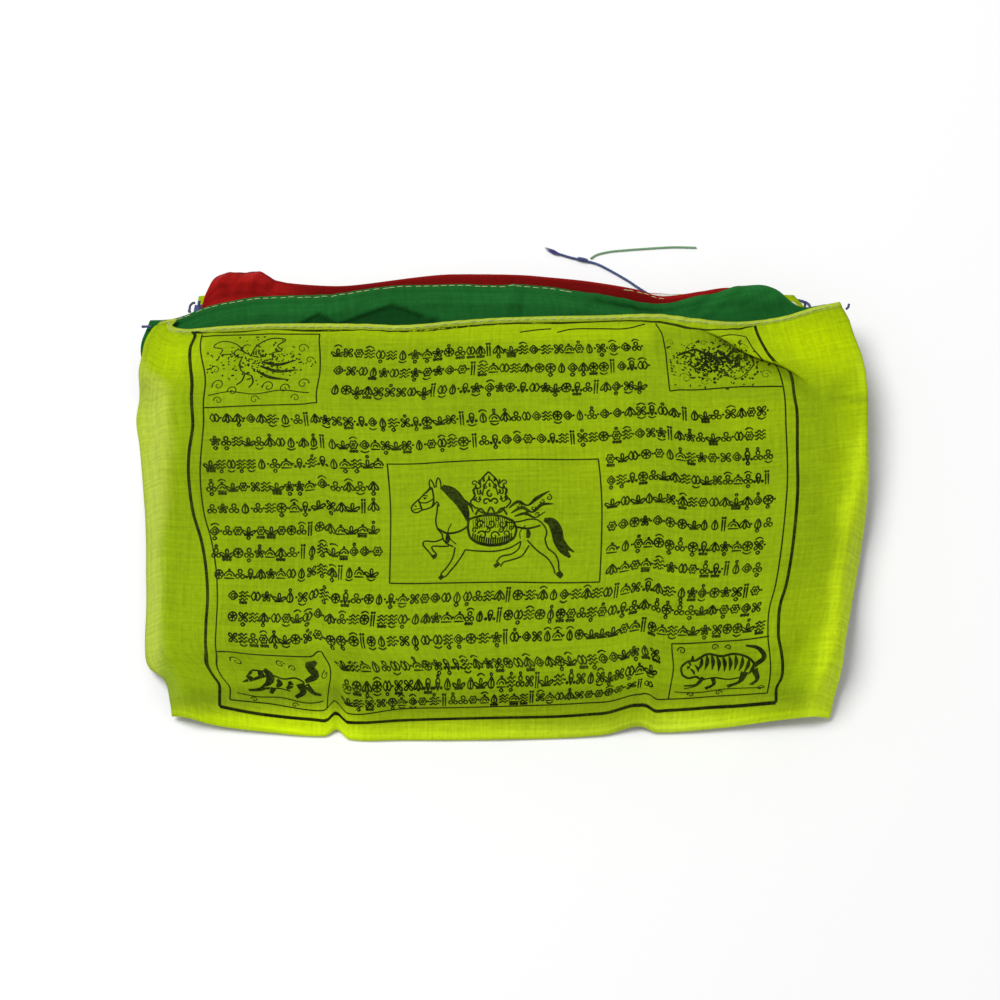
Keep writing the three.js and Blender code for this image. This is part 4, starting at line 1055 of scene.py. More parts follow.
def horse_fill():
    """Short strokes that darken the horse's picture: two rings of small flames around the jewel, the
    threads of the saddle cloth and the dark fringe along its hem."""
    fill = {}
    for ring, (wide, high, size) in enumerate([(4.6, 5.6, 2.0), (7.4, 8.6, 2.6)]):
        for angle in np.linspace(-0.1, np.pi + 0.1, 7 + 4 * ring):
            x, y = 52.2 + wide * np.cos(angle), 41.0 + high * np.sin(angle)
            lean = 0.8 * np.cos(angle)
            bent = [(x, y), (x + lean, y + 0.4 * size), (x + 0.4 * lean, y + size)]
            fill["flame", ring, angle] = ([0.5, 0.7, 0.25], bent)
    for x in np.arange(43.4, 62.6, 1.1):
        hem = 19.1 + 0.026 * (x - 53)**2
        top = 32.4 - 0.020 * (x - 52)**2
        fill["fringe", x] = ([0.45], [(x, hem), (x + 0.2, hem + 3.2)])
        fill["thread", x] = ([0.2], [(x, top), (x + 0.3, top - 2.4), (x, top - 5.2)])
    return fill


def stripe_lines(cloth, panel):
    """Bent stripes across the tiger's back, thin at both ends."""
    parts = []
    for x, y, lean, length, width in each(STRIPES):
        aside, half = lean * length / 2, length / 2
        points = [(x - aside, y + half), (x + 1.2, y), (x + aside, y - half)]
        parts.append(long_ribbon(cloth, placed(points, panel), [0.3, width, 0.3], step=0.6))
    return parts


def speckles(cloth, panel, count, seed, middle, reach, size):
    """Short dots of ink scattered around a middle of a corner box, fewer further out."""
    rng = np.random.default_rng(seed)
    at = np.clip(np.array(middle) + rng.normal(0, 1, (count, 2)) * reach, [3, 3], [97, CORNER_BOX - 3])
    centre = placed(at, panel)
    turn = rng.uniform(0, np.pi, count)
    long = size * rng.uniform(0.5, 1.5, count)
    ends = stacked(np.cos(turn), np.sin(turn)) * long[:, None] / 2
    path = np.stack([centre - ends, centre, centre + ends], axis=1)
    wide = (size * rng.uniform(0.5, 1.1, count))[:, None] * [0.6, 1.0, 0.5]
    return ribbons(cloth, path, wide, SPECK_LIFT)


def stitch_line(cloth, from_edge, reach, length, gap, wide, seed):
    """Small capsules along a heading: each is a rounded bar as long as a stitch, sunk at its ends."""
    rng = np.random.default_rng(seed)
    top = cloth["t"][-1] - from_edge
    s = np.arange(reach[0], reach[1], length + gap)
    s = s + rng.normal(0, 0.25, len(s))
    t = top + 0.15 * np.sin(s / 19 + seed) + rng.normal(0, 0.06, len(s))
    start = on_cloth(cloth, s - length / 2, t, 0.0)
    end = on_cloth(cloth, s + length / 2, t, 0.0)
    middle = on_cloth(cloth, s, t, 0.10)
    along_it = (end - start) / 2
    across_it = np.cross(UPWARD, along_it)
    across_it = across_it / lengths(across_it) * wide / 2
    over_it = np.cross(along_it, across_it)
    over_it = over_it / lengths(over_it) * wide / 2
    u = np.array([-1.0, -0.75, 0.0, 0.75, 1.0])
    size = np.array([0.35, 0.9, 1.0, 0.9, 0.35])
    sink = np.array([-1.2, -0.2, 0.3, -0.2, -1.2])
    around = 6
    angle = np.linspace(0, 2 * np.pi, around, endpoint=False)
    ring = (middle[:, None, None, :] + along_it[:, None, None, :] * u[None, :, None, None]
            + across_it[:, None, None, :] * (size[:, None] * np.cos(angle))[None, :, :, None]
            + over_it[:, None, None, :] * (size[:, None] * np.sin(angle) + sink[:, None])[None, :, :, None])
    shape = (len(s), len(u), around)
    index = np.arange(math.prod(shape)).reshape(shape)
    after = np.roll(index, -1, axis=2)
    sides = quads(index[:, :-1], after[:, :-1], after[:, 1:], index[:, 1:])
    ends = np.concatenate([index[:, 0, ::-1], index[:, -1, :]])
    return ring.reshape(-1, 3), [sides, ends]


# Free end of the string and its thread, in millimetres of the working plan
TAIL_ROUTE = [
    (114.3, 91, 0.56), (113.9, 93.4, 0.56), (111, 94.9, 0.56), (105, 95.4, 0.56), (96, 95.5, 0.56),
    (84, 95.5, 0.56), (72, 95.5, 0.56), (62, 95.6, 0.56), (56.5, 96.8, 0.56), (51.1, 100.3, 0.56),
    (47.4, 103.2, 0.56), (40.4, 107.9, 0.56), (36.3, 110.3, 0.56), (33.2, 111.4, 0.56)]
END_ROUTE = [(30, 112.3, 0.6), (26.9, 113.05, 0.6), (24.6, 113.8, 0.56), (21.5, 114.9, 0.6)]
THREAD_ROUTE = [
    (33.5, 112.95, 0.5), (35.8, 114.6, 0.41), (40.5, 115.9, 0.41), (45.5, 116.5, 0.41), (54.9, 117.3, 0.41),
    (64.5, 117.9, 0.41), (73.1, 117.7, 0.41)]
KNOT = {"middle": (30.4, 112.2, 0.95), "long": 4.6, "wide": 1.8, "turn": -0.24, "turns": 5.2}
TIP = {"middle": (19, 116, 0.95), "long": 6.2, "wide": 1.9, "turn": -0.5, "fibres": 22}


def link_route(upper, lower, side):
    """Bend of string between the heading ends of two neighbouring flags, out past both."""
    a, b = heading_end(upper, side), heading_end(lower, side)
    ax, bx = a[0] * side, b[0] * side
    out = max(ax, bx)
    farthest = out + 1.6
    bend = [
        (ax + STRING_START, a[1], a[2]), (max(ax + 1.7, out + 0.6), a[1], a[2]),
        (farthest, (2 * a[1] + b[1]) / 3, (2 * a[2] + b[2]) / 3),
        (farthest, (a[1] + 2 * b[1]) / 3, (a[2] + 2 * b[2]) / 3),
        (max(bx + 1.7, out + 0.6), b[1], b[2]), (bx + STRING_START, b[1], b[2])]
    return [(x * side, y, z) for x, y, z in bend]


def stub_route():
    """Cut end of the string at the top flag's right heading end."""
    x, y, z = heading_end(None, 1)
    return [(x + STRING_START, y, z), (x + 1.7, y + 0.7, z + 0.1), (x + 2.1, y + 2.0, z + 0.2)]


def tail_route():
    """Free end of the string, from the bottom flag's right heading end to its tip."""
    x, y, _ = heading_end(LOWER[-1], 1)
    return [(x + 0.75, y, 0.62), (x + 2.2, y, 0.6)] + TAIL_ROUTE + END_ROUTE


def beside(place, run, off, rise):
    """Points run along and off aside of the line of the knot or the tip, and rise above it."""
    x, y, z = place["middle"]
    c, s = math.cos(place["turn"]), math.sin(place["turn"])
    return stacked(x + run * c - off * s, y + run * s + off * c, z + rise)


def knot_windings(string):
    """A knot as about five turns of thinner string wound around the string's line, drawn in at its
    ends."""
    radius = string * 0.36
    u = np.linspace(-1, 1, 70)
    turn = np.pi * KNOT["turns"] * u
    swell = (KNOT["wide"] / 2 - radius) * np.sqrt(np.clip(1 - 0.55 * u**2, 0, 1))
    path = beside(KNOT, u * (KNOT["long"] / 2 - radius), swell * np.cos(turn), swell * np.sin(turn))
    return tube(path, np.full(len(path), radius), sides=8)


def tip_fibres(seed=5, thick=0.17, thin=0.09, lowest=0.16):
    """Frayed string end: fibres that leave its line in a narrow brush and bend apart."""
    rng = np.random.default_rng(seed)
    parts = []
    u = np.linspace(0, 1, 9)
    for k in range(TIP["fibres"]):
        angle = 2 * np.pi * k / TIP["fibres"] + rng.uniform(-0.2, 0.2)
        spread_out = rng.uniform(0.45, 1.0) * (TIP["wide"] / 2 - 0.16)
        reach = TIP["long"] * rng.uniform(0.72, 1.0)
        run = TIP["long"] / 2 - reach * u
        off = spread_out * (0.25 + 0.75 * np.sin(np.pi * np.clip(u, 0, 0.8))) * np.cos(angle + u)
        rise = spread_out * (0.25 + 0.75 * u**0.8) * np.sin(angle + u) * 0.8
        path = beside(TIP, run, off, rise - 0.25 * u)
        path[:, 2] = np.maximum(path[:, 2], lowest)
        parts.append(tube(path, np.linspace(thick, thin, len(u)), sides=5))
    return joined(parts)


def new_material(name, colour):
    """A Principled material with its plain colour, and its node tree, shader and output."""
    material = bpy.data.materials.new(name)
    material.use_nodes = True
    material.diffuse_color = (*colour, 1.0)
    shader = material.node_tree.nodes["Principled BSDF"]
    shader.inputs["Base Color"].default_value = (*colour, 1.0)
    return material, material.node_tree.nodes, material.node_tree.links, shader


def group_with(name, inputs, outputs):
    """A new shader node group with named sockets: its tree, its input node and its output node."""
    tree = bpy.data.node_groups.new(name, "ShaderNodeTree")
    for label, kind in inputs:
        tree.interface.new_socket(name=label, in_out="INPUT", socket_type="NodeSocket" + kind)
    for label, kind in outputs:
        tree.interface.new_socket(name=label, in_out="OUTPUT", socket_type="NodeSocket" + kind)
    return tree, tree.nodes.new("NodeGroupInput"), tree.nodes.new("NodeGroupOutput")


def maths(tree, operation, *values):
    """A Math node: each value is a number or an output socket."""
    node = tree.nodes.new("ShaderNodeMath")
    node.operation = operation
    for k, value in enumerate(values):
        if hasattr(value, "is_linked"):
            tree.links.new(value, node.inputs[k])
        else:
            node.inputs[k].default_value = value
    return node.outputs[0]


def swing(tree, value, middle, gain):
    """A value's distance from a middle, times a gain."""
    return maths(tree, "MULTIPLY", maths(tree, "SUBTRACT", value, middle), gain)


def held(tree, value):
    """A value kept between 0 and 1."""
    return maths(tree, "MINIMUM", maths(tree, "MAXIMUM", value, 0.0), 1.0)


def noise(tree, vector, scale, detail=3.0, stretch=(1, 1, 1)):
    """A Noise node on a vector stretched along its axes."""
    mapping = tree.nodes.new("ShaderNodeMapping")
    mapping.inputs["Scale"].default_value = stretch
    tree.links.new(vector, mapping.inputs["Vector"])
    node = tree.nodes.new("ShaderNodeTexNoise")
    node.inputs["Scale"].default_value = scale
    node.inputs["Detail"].default_value = detail
    tree.links.new(mapping.outputs[0], node.inputs["Vector"])
    return node.outputs["Fac"]


def mixed(tree, share, first, second, mode="MIX"):
    """A colour Mix node of two colours, each a value or a socket."""
    node = tree.nodes.new("ShaderNodeMix")
    node.data_type = "RGBA"
    node.blend_type = mode
    for socket, value in ((node.inputs[0], share), (node.inputs[6], first), (node.inputs[7], second)):
        if hasattr(value, "is_linked"):
            tree.links.new(value, socket)
        else:
            socket.default_value = value
    return node.outputs[2]


def woven_cloth():
    """Node group of plain woven cloth: warp and weft threads as crossing sines, thread-to-thread streaks,
    slow mottling, a bright tint mixed in by a mask of painted light and by slow noise, a pale tint by a mask
    of painted light showing through from the table, and painted shade by a mask."""
    tree, enter, leave = group_with(
        "Woven Cloth",
        [("Vector", "Vector"), ("Tint", "Color"), ("Bright Tint", "Color"), ("Pale Tint", "Color"),
         ("Bright", "Float"), ("Pale", "Float"), ("Shade", "Float"), ("Threads", "Float")],
        [("Color", "Color"), ("Roughness", "Float"), ("Height", "Float")])
    vector = enter.outputs["Vector"]
    split = tree.nodes.new("ShaderNodeSeparateXYZ")
    tree.links.new(vector, split.inputs[0])
    turn = maths(tree, "MULTIPLY", enter.outputs["Threads"], 2 * math.pi)
    warp = maths(tree, "SINE", maths(tree, "MULTIPLY", split.outputs["X"], turn))
    weft = maths(tree, "SINE", maths(tree, "MULTIPLY", split.outputs["Y"], turn))
    weave = maths(tree, "MULTIPLY", warp, weft)
    long_streak = noise(tree, vector, 1.0, 3.0, (1000, 50, 1))
    cross_streak = noise(tree, vector, 1.0, 3.0, (50, 1000, 1))
    grain = noise(tree, vector, 620.0, 3.0)
    broad = noise(tree, vector, 14.0, 3.0)
    mottle = noise(tree, vector, 38.0, 4.0)
    streaks = maths(tree, "ADD", swing(tree, long_streak, 0.5, 0.44), swing(tree, cross_streak, 0.5, 0.50))
    fine = maths(tree, "ADD", swing(tree, grain, 0.5, 0.36), swing(tree, mottle, 0.5, 0.20))
    bright = maths(tree, "ADD", maths(tree, "ADD", streaks, fine), maths(tree, "MULTIPLY", weave, 0.05))
    # The Shade mask is painted shade that darkens the colour
    factor = maths(tree, "MULTIPLY", maths(tree, "ADD", bright, 1.0),
                   maths(tree, "SUBTRACT", 1.0, enter.outputs["Shade"]))
    # The Bright mask is painted light, with slow noise added; the Pale mask is painted light showing through
    # from the table
    lit = held(tree, maths(tree, "ADD", enter.outputs["Bright"], swing(tree, broad, 0.5, 0.9)))
    open_tint = mixed(tree, lit, enter.outputs["Tint"], enter.outputs["Bright Tint"])
    tint = mixed(tree, enter.outputs["Pale"], open_tint, enter.outputs["Pale Tint"])
    grey = tree.nodes.new("ShaderNodeCombineXYZ")
    for k in range(3):
        tree.links.new(factor, grey.inputs[k])
    tree.links.new(mixed(tree, 1.0, tint, grey.outputs[0], "MULTIPLY"), leave.inputs["Color"])
    rough = maths(tree, "ADD", maths(tree, "MULTIPLY", mottle, 0.22), 0.50)
    tree.links.new(rough, leave.inputs["Roughness"])
    tree.links.new(maths(tree, "ADD", weave, maths(tree, "MULTIPLY", streaks, 3.0)), leave.inputs["Height"])
    return tree


def patchy_ink():
    """Node group of ink printed on cloth: dark where the noise is high, thin and greenish where the
    threads stayed bare."""
    tree, enter, leave = group_with(
        "Patchy Ink", [("Vector", "Vector"), ("Ink", "Color"), ("Thin Ink", "Color"), ("Wear", "Float")],
        [("Color", "Color"), ("Roughness", "Float")])
    vector = enter.outputs["Vector"]
    speck = noise(tree, vector, 1300.0, 3.0)
    patch = noise(tree, vector, 110.0, 3.0)
    bare = maths(tree, "ADD", maths(tree, "MULTIPLY", speck, 1.1), maths(tree, "MULTIPLY", patch, 0.9))
    share = maths(tree, "MULTIPLY", held(tree, swing(tree, bare, 0.86, 2.6)), enter.outputs["Wear"])
    colour = mixed(tree, share, enter.outputs["Ink"], enter.outputs["Thin Ink"])
    tree.links.new(colour, leave.inputs["Color"])
    tree.links.new(maths(tree, "ADD", maths(tree, "MULTIPLY", share, 0.2), 0.55), leave.inputs["Roughness"])
    return tree


def spun_yarn():
    """Node group of spun yarn: fine fibre specks, a slow change of tint and a mark that lightens."""
    tree, enter, leave = group_with(
        "Spun Yarn", [("Vector", "Vector"), ("Tint", "Color"), ("Light Tint", "Color"), ("Mark", "Float")],
        [("Color", "Color"), ("Height", "Float")])
    vector = enter.outputs["Vector"]
    fibre = noise(tree, vector, 2600.0, 3.0)
    slow = noise(tree, vector, 220.0, 2.0)
    share = maths(tree, "ADD", swing(tree, fibre, 0.42, 0.8), swing(tree, slow, 0.5, 0.5))
    share = held(tree, maths(tree, "ADD", share, enter.outputs["Mark"]))
    colour = mixed(tree, share, enter.outputs["Tint"], enter.outputs["Light Tint"])
    tree.links.new(colour, leave.inputs["Color"])
    tree.links.new(fibre, leave.inputs["Height"])
    return tree


def the_group(name, maker):
    """The named node group, made the first time that it is asked for."""
    return bpy.data.node_groups.get(name) or maker()


def placed_group(material, name, maker, values):
    """A node group in a material with its own values."""
    node = material.node_tree.nodes.new("ShaderNodeGroup")
    node.node_tree = the_group(name, maker)
    for label, value in values.items():
        node.inputs[label].default_value = value
    return node


def bumped(material, height, shader, distance=0.00008, strength=0.6):
    """A Bump node from a height to the shader's normal, as deep as a thread."""
    bump = material.node_tree.nodes.new("ShaderNodeBump")
    bump.inputs["Distance"].default_value = distance
    bump.inputs["Strength"].default_value = strength
    material.node_tree.links.new(height, bump.inputs["Height"])
    material.node_tree.links.new(bump.outputs["Normal"], shader.inputs["Normal"])


def attribute(material, name):
    """A point attribute of the piece as a number."""
    node = material.node_tree.nodes.new("ShaderNodeAttribute")
    node.attribute_name = name
    return node.outputs["Fac"]


def cloth_material(name, colour, bright, pale, pitch_of_weave):
    """Thin woven cloth in its flag's colour, with a bright and a pale copy of it for painted light."""
    material, nodes, links, shader = new_material(name, colour)
    group = placed_group(material, "Woven Cloth", woven_cloth, {
        "Tint": (*colour, 1.0), "Bright Tint": (*bright, 1.0), "Pale Tint": (*pale, 1.0),
        "Threads": 1.0 / pitch_of_weave})
    uv = nodes.new("ShaderNodeUVMap")
    uv.uv_map = "cloth"
    links.new(uv.outputs["UV"], group.inputs["Vector"])
    for socket in ("Bright", "Pale", "Shade"):
        links.new(attribute(material, socket.lower()), group.inputs[socket])
    links.new(group.outputs["Color"], shader.inputs["Base Color"])
    links.new(group.outputs["Roughness"], shader.inputs["Roughness"])
    shader.inputs["Sheen Weight"].default_value = 0.10
    shader.inputs["Sheen Roughness"].default_value = 0.4
    shader.inputs["Sheen Tint"].default_value = (*bright, 1.0)
    shader.inputs["Specular IOR Level"].default_value = 0.12
    shader.inputs["Specular Tint"].default_value = (*bright, 1.0)
    bumped(material, group.outputs["Height"], shader)
    return material


def ink_material(colour, thin, wear):
    """Black-green printing ink that stayed thin in specks."""
    material, nodes, links, shader = new_material("printing ink", colour)
    group = placed_group(material, "Patchy Ink", patchy_ink, {
        "Ink": (*colour, 1.0), "Thin Ink": (*thin, 1.0), "Wear": wear})
    where = nodes.new("ShaderNodeTexCoord")
    links.new(where.outputs["Object"], group.inputs["Vector"])
    links.new(group.outputs["Color"], shader.inputs["Base Color"])
    links.new(group.outputs["Roughness"], shader.inputs["Roughness"])
    shader.inputs["Specular IOR Level"].default_value = 0.04
    return material


def yarn_material(name, colour, light, marked=False):
    """Spun yarn of string, thread or stitches."""
    material, nodes, links, shader = new_material(name, colour)
    tints = {"Tint": (*colour, 1.0), "Light Tint": (*light, 1.0)}
    group = placed_group(material, "Spun Yarn", spun_yarn, tints)
    where = nodes.new("ShaderNodeTexCoord")
    links.new(where.outputs["Object"], group.inputs["Vector"])
    if marked:
        links.new(attribute(material, "mark"), group.inputs["Mark"])
    links.new(group.outputs["Color"], shader.inputs["Base Color"])
    shader.inputs["Roughness"].default_value = 0.75
    shader.inputs["Sheen Weight"].default_value = 0.2
    bumped(material, group.outputs["Height"], shader)
    return material


def linear(red, green, blue):
    """A colour seen on screen, 0 to 255 each, as scene-linear numbers."""
    share = np.array([red, green, blue]) / 255
    curve = ((share + 0.055) / 1.055)**2.4
    return tuple(float(v) for v in np.where(share <= 0.04045, share / 12.92, curve))


def colour_property(name, description, red, green, blue):
    """A colour setting whose default is given as it looks on screen."""
    return FloatVectorProperty(name=name, description=description, subtype="COLOR", size=3,
                               min=0.0, max=1.0, default=linear(red, green, blue))


def length_property(name, description, default, smallest):
    """A length setting in metres."""
    return FloatProperty(name=name, description=description, default=default, min=smallest, unit="LENGTH")


class ClothSettings(bpy.types.PropertyGroup):
    """Sizes and colours of the flags."""
    thickness: length_property("Cloth Thickness", "Thickness of the cloth", 0.00035, 0.0001)
    weave_pitch: length_property("Weave Pitch", "Distance from thread to thread", 0.00048, 0.0001)
    stitch_length: length_property("Stitch Length", "Length of one stitch that shows", 0.0024, 0.0005)
    stitch_gap: length_property("Stitch Gap", "Distance from one stitch to the next", 0.0008, 0.0002)
    stitch_width: length_property("Stitch Width", "Thickness of the sewing thread", 0.0003, 0.0001)
    ink_wear: FloatProperty(name="Ink Wear", description="Share of the ink that stayed thin", default=0.55,
                            min=0.0, max=1.0, subtype="FACTOR")
    yellow: colour_property("Yellow", "Lime yellow cloth over other cloth", 142, 171, 18)
    # Bright and pale yellow are lit copies of the yellow, for painted light in the open places and where the
    # table shows through
    yellow_bright: colour_property("Bright Yellow", "Lime yellow cloth where it lies open", 184, 212, 4)
    yellow_pale: colour_property("Pale Yellow", "Lime yellow cloth over the table", 184, 203, 66)
    green: colour_property("Green", "Green cloth", 28, 92, 38)
    red: colour_property("Red", "Red cloth", 152, 24, 22)
    white: colour_property("White", "White cloth", 224, 224, 214)
    blue: colour_property("Blue", "Blue cloth", 70, 78, 130)
    ink: colour_property("Ink", "Printing ink", 24, 30, 3)
    ink_thin: colour_property("Thin Ink", "Printing ink where it stayed thin", 70, 90, 14)
    stitch: colour_property("Stitches", "Sewing thread of the hems", 186, 200, 140)


class StringSettings(bpy.types.PropertyGroup):
    """Sizes and colours of the string and its thread."""
    diameter: length_property("String Diameter", "Thickness of the string", 0.00095, 0.0005)
    lay: length_property("String Lay", "Length of one turn of the string's plies", 0.0042, 0.001)
    thread_diameter: length_property("Thread Diameter", "Thickness of the loose thread", 0.0008, 0.0003)
    colour: colour_property("String", "Blue-grey string", 54, 72, 116)
    colour_light: colour_property("Light String", "Light fibres of the string", 104, 118, 156)
    tip: colour_property("Tip", "Frayed end of the string", 56, 48, 124)
    tip_light: colour_property("Light Tip", "Ends of the frayed fibres", 196, 196, 208)
    thread: colour_property("Thread", "Loose green thread", 118, 162, 118)
    thread_light: colour_property("Light Thread", "Light fibres of the thread", 168, 198, 160)


class StageSettings(bpy.types.PropertyGroup):
    """Camera, floor and light."""
    distance: length_property("Camera Distance", "From the camera to the middle of the pile", 0.8, 0.3)
    elevation: FloatProperty(name="Camera Elevation", description="Height of the camera as an angle",
                             default=math.radians(66), min=0.0, max=math.radians(90), subtype="ANGLE")
    lens: FloatProperty(name="Lens", description="Focal length on a 36 mm sensor", default=82.476, min=20.0)
    light_power: FloatProperty(name="Light Power", description="Power of the soft light",
                               default=43.0, min=0.0, unit="POWER")
    sky: FloatProperty(name="Sky Strength", description="Strength of the even light from all around",
                       default=0.42, min=0.0)
    floor: colour_property("Floor", "Colour of the floor", 255, 255, 255)


def settings():
    """The three groups of settings in the scene."""
    scene = bpy.context.scene
    return scene.flag_cloth, scene.flag_string, scene.flag_stage


def stand_in(obj, slot, *nodes):
    """Let a piece ride on the pile's one body and stand for its solids, which are hidden; its slot is not
    used.
    """
    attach(obj, "root")
    if nodes:
        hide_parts(*nodes)
    return obj


def cloth_materials():
    """Materials of the five cloths, made once."""
    cloth, _, _ = settings()
    made = {}
    for plain in ("yellow", "green", "red", "white", "blue"):
        slot, colour = "cloth_" + plain, getattr(cloth, plain)
        # Bright and pale copies of each colour: lit copies of one cloth, for painted light
        bright = cloth.yellow_bright if plain == "yellow" else [min(1.0, 1.5 * c) for c in colour]
        pale = cloth.yellow_pale if plain == "yellow" else [min(1.0, 1.4 * c + 0.01) for c in colour]
        name = "woven " + slot
        made[slot] = bpy.data.materials.get(name) or cloth_material(
            name, tuple(colour), tuple(bright), tuple(pale), cloth.weave_pitch)
    return made


def top_surface():
    """The top flag as a grid, its columns close together at the pleat and its rows at the hem."""
    cloth, _, _ = settings()
    pleat_left, pleat_right, pleat_low = 184, 234, 132
    s = np.concatenate([np.linspace(0, pleat_left, 124, endpoint=False),
                        np.linspace(pleat_left, pleat_right, 108, endpoint=False),
                        np.linspace(pleat_right, CLOTH_WIDTH, 16)])
    t = np.concatenate([np.linspace(0, pleat_low, 92, endpoint=False),
                        np.linspace(pleat_low, TOP_CLOTH_LENGTH, 74)])
    return surface(s, t, top_cloth(*np.meshgrid(s, t)), cloth.thickness / MM)


def lower_surface(flag):
    """A lower flag as a grid, its rows close together at the hem."""
    cloth, _, _ = settings()
    s = np.linspace(0, CLOTH_WIDTH, flag["columns"])
    t = cloth_places(LOWER_CLOTH_LENGTH, flag["hem"], flag["rows"])
    across, up = np.meshgrid(s / CLOTH_WIDTH, t / LOWER_CLOTH_LENGTH)
    return surface(s, t, lower_cloth(flag, across, up), cloth.thickness / MM)


def sheet_object(name, cloth, thick, material, pale, bright, shade):
    """A flag's cloth as a closed two-sided mesh with its flat places as UV map, in metres of cloth."""
    points, faces = closed_sheet(cloth["middle"], thick)
    flat = np.stack(np.meshgrid(cloth["s"], cloth["t"]), axis=-1).reshape(-1, 2)
    # The pale, bright and shade masks carry painted light and painted shade into the material, with the pale
    # doubled hem
    masks = {"pale": pale, "bright": bright, "shade": shade}
    masks = {name: np.tile(mask.ravel(), 2) for name, mask in masks.items()}
    return new_object(name, points, faces, material, np.tile(flat, (2, 1)), masks)


# Lamp, camera and floor, in metres
LAMP_SIZE, LAMP_PLACE = 1.5, (-1.0, 0.55, 2.1)
CAMERA_SHIFT, CAMERA_AIM = (-0.001, 0.022), (0.0006, -0.0113, 0.012)
FLOOR_HALF = 2.0


class FLAGS_OT_stage(bpy.types.Operator):
    """Add the floor, the soft light and the camera at the photograph's angle"""
    bl_idname = "flags.stage"
    bl_label = "Stage"

    def execute(self, context):
        _, _, stage = settings()
        scene = context.scene
        half = FLOOR_HALF
        corners = [(-half, -half, 0), (half, -half, 0), (half, half, 0), (-half, half, 0)]
        mesh = bpy.data.meshes.new("floor")
        mesh.from_pydata(corners, [], [(0, 1, 2, 3)])
        floor = bpy.data.objects.new("floor", mesh)
        scene.collection.objects.link(floor)
        material, _, _, shader = new_material("floor", tuple(stage.floor))
        shader.inputs["Roughness"].default_value = 0.9
        shader.inputs["Specular IOR Level"].default_value = 0.1
        mesh.materials.append(material)
        world = bpy.data.worlds.new("even light")
        world.use_nodes = True
        background = world.node_tree.nodes["Background"]
        background.inputs["Color"].default_value = (1, 1, 1, 1)
        background.inputs["Strength"].default_value = stage.sky
        scene.world = world
        scene.view_settings.view_transform = "Standard"
        light = bpy.data.lights.new("soft light", "AREA")
        light.energy = stage.light_power
        light.shape = "DISK"
        light.size = LAMP_SIZE
        lamp = bpy.data.objects.new("soft light", light)
        lamp.location = LAMP_PLACE
        lamp.rotation_euler = Vector(lamp.location).to_track_quat("Z", "Y").to_euler()
        scene.collection.objects.link(lamp)
        camera = bpy.data.cameras.new("camera")
        camera.sensor_width = 36.0
        camera.lens = stage.lens
        camera.shift_x, camera.shift_y = CAMERA_SHIFT
        camera.clip_start = 0.01
        view = bpy.data.objects.new("camera", camera)
        aim = Vector(CAMERA_AIM)
        toward = Vector((0, -math.cos(stage.elevation), math.sin(stage.elevation)))
        view.location = aim + stage.distance * toward
        view.rotation_euler = (math.radians(90) - stage.elevation, 0, 0)
        scene.collection.objects.link(view)
        scene.camera = view
        return {"FINISHED"}


def yarn_piece(name, route, wide, sides, ribs, lay, material):
    """A twisted yarn along a route, as one piece."""
    points, faces = tube(route, np.full(len(route), wide / 2), sides=sides, ribs=ribs, lay=lay)
    return new_object(name + "_twisted", points, faces, material)


class FLAGS_OT_string_tail(bpy.types.Operator):
    """Add the loose end of the string with its knot, its frayed tip and its thread"""
    bl_idname = "flags.string_tail"
    bl_label = "String Tail"

    def execute(self, context):
        _, string, _ = settings()
        wide = string.diameter / MM
        yarn = yarn_material("string", tuple(string.colour), tuple(string.colour_light))
        route = smooth_path(tail_route(), 0.35)
        tail = yarn_piece("string_tail", route, wide, 14, 3, string.lay / MM, yarn)
        stand_in(tail, "string", "string_tail", "string_end")
        knot = stand_in(new_object("tail_knot_wound", *knot_windings(wide), yarn), "string", "tail_knot")
        points, faces = tip_fibres()
        tip_yarn = yarn_material("string tip", tuple(string.tip), tuple(string.tip_light), marked=True)
        x, y, _ = TIP["middle"]
        out = (x - points[:, 0]) * math.cos(TIP["turn"]) - (points[:, 1] - y) * math.sin(TIP["turn"])
        mark = past(out - 1.1, 0.4) * 0.9 - 0.25
        tip = new_object("tail_tip_frayed", points, faces, tip_yarn, values={"mark": mark})
        stand_in(tip, "string_tip", "tail_tip")
        thin = string.thread_diameter / MM
        green = yarn_material("thread", tuple(string.thread), tuple(string.thread_light))
        thread = yarn_piece("thread_tail", smooth_path(THREAD_ROUTE, 0.3), thin, 10, 2, 2.4, green)
        stand_in(thread, "thread", "thread_tail")
        return {"FINISHED"}


class FLAGS_OT_string_links(bpy.types.Operator):
    """Add the bends of string from flag to flag and the cut stub at the top flag"""
    bl_idname = "flags.string_links"
    bl_label = "String Links"

    def execute(self, context):
        _, string, _ = settings()
        wide = string.diameter / MM
        yarn = bpy.data.materials["string"]
        flags = [None] + LOWER
        routes = {}
        for k in range(len(flags) - 1):
            side = -1 if k % 2 == 0 else 1
            bend = link_route(flags[k], flags[k + 1], side)
            routes["string_link_" + str(k + 1)] = smooth_path(bend, 0.4)
        routes["string_stub"] = smooth_path(stub_route(), 0.3)
        for name, route in routes.items():
            stand_in(yarn_piece(name, route, wide, 12, 3, string.lay / MM, yarn), "string", name)
        return {"FINISHED"}


class FLAGS_OT_top_flag(bpy.types.Operator):
    """Add the top flag's cloth"""
    bl_idname = "flags.top_flag"
    bl_label = "Top Flag"

    def execute(self, context):
        sizes, _, _ = settings()
        cloth = top_surface()
        s, t = np.meshgrid(cloth["s"], cloth["t"])
        material = cloth_materials()["cloth_yellow"]
        flag = sheet_object("cloth_yellow_top", cloth, sizes.thickness / MM, material, *top_tones(s, t))
        stand_in(flag, "cloth_yellow", "flag_yellow_top")
        return {"FINISHED"}


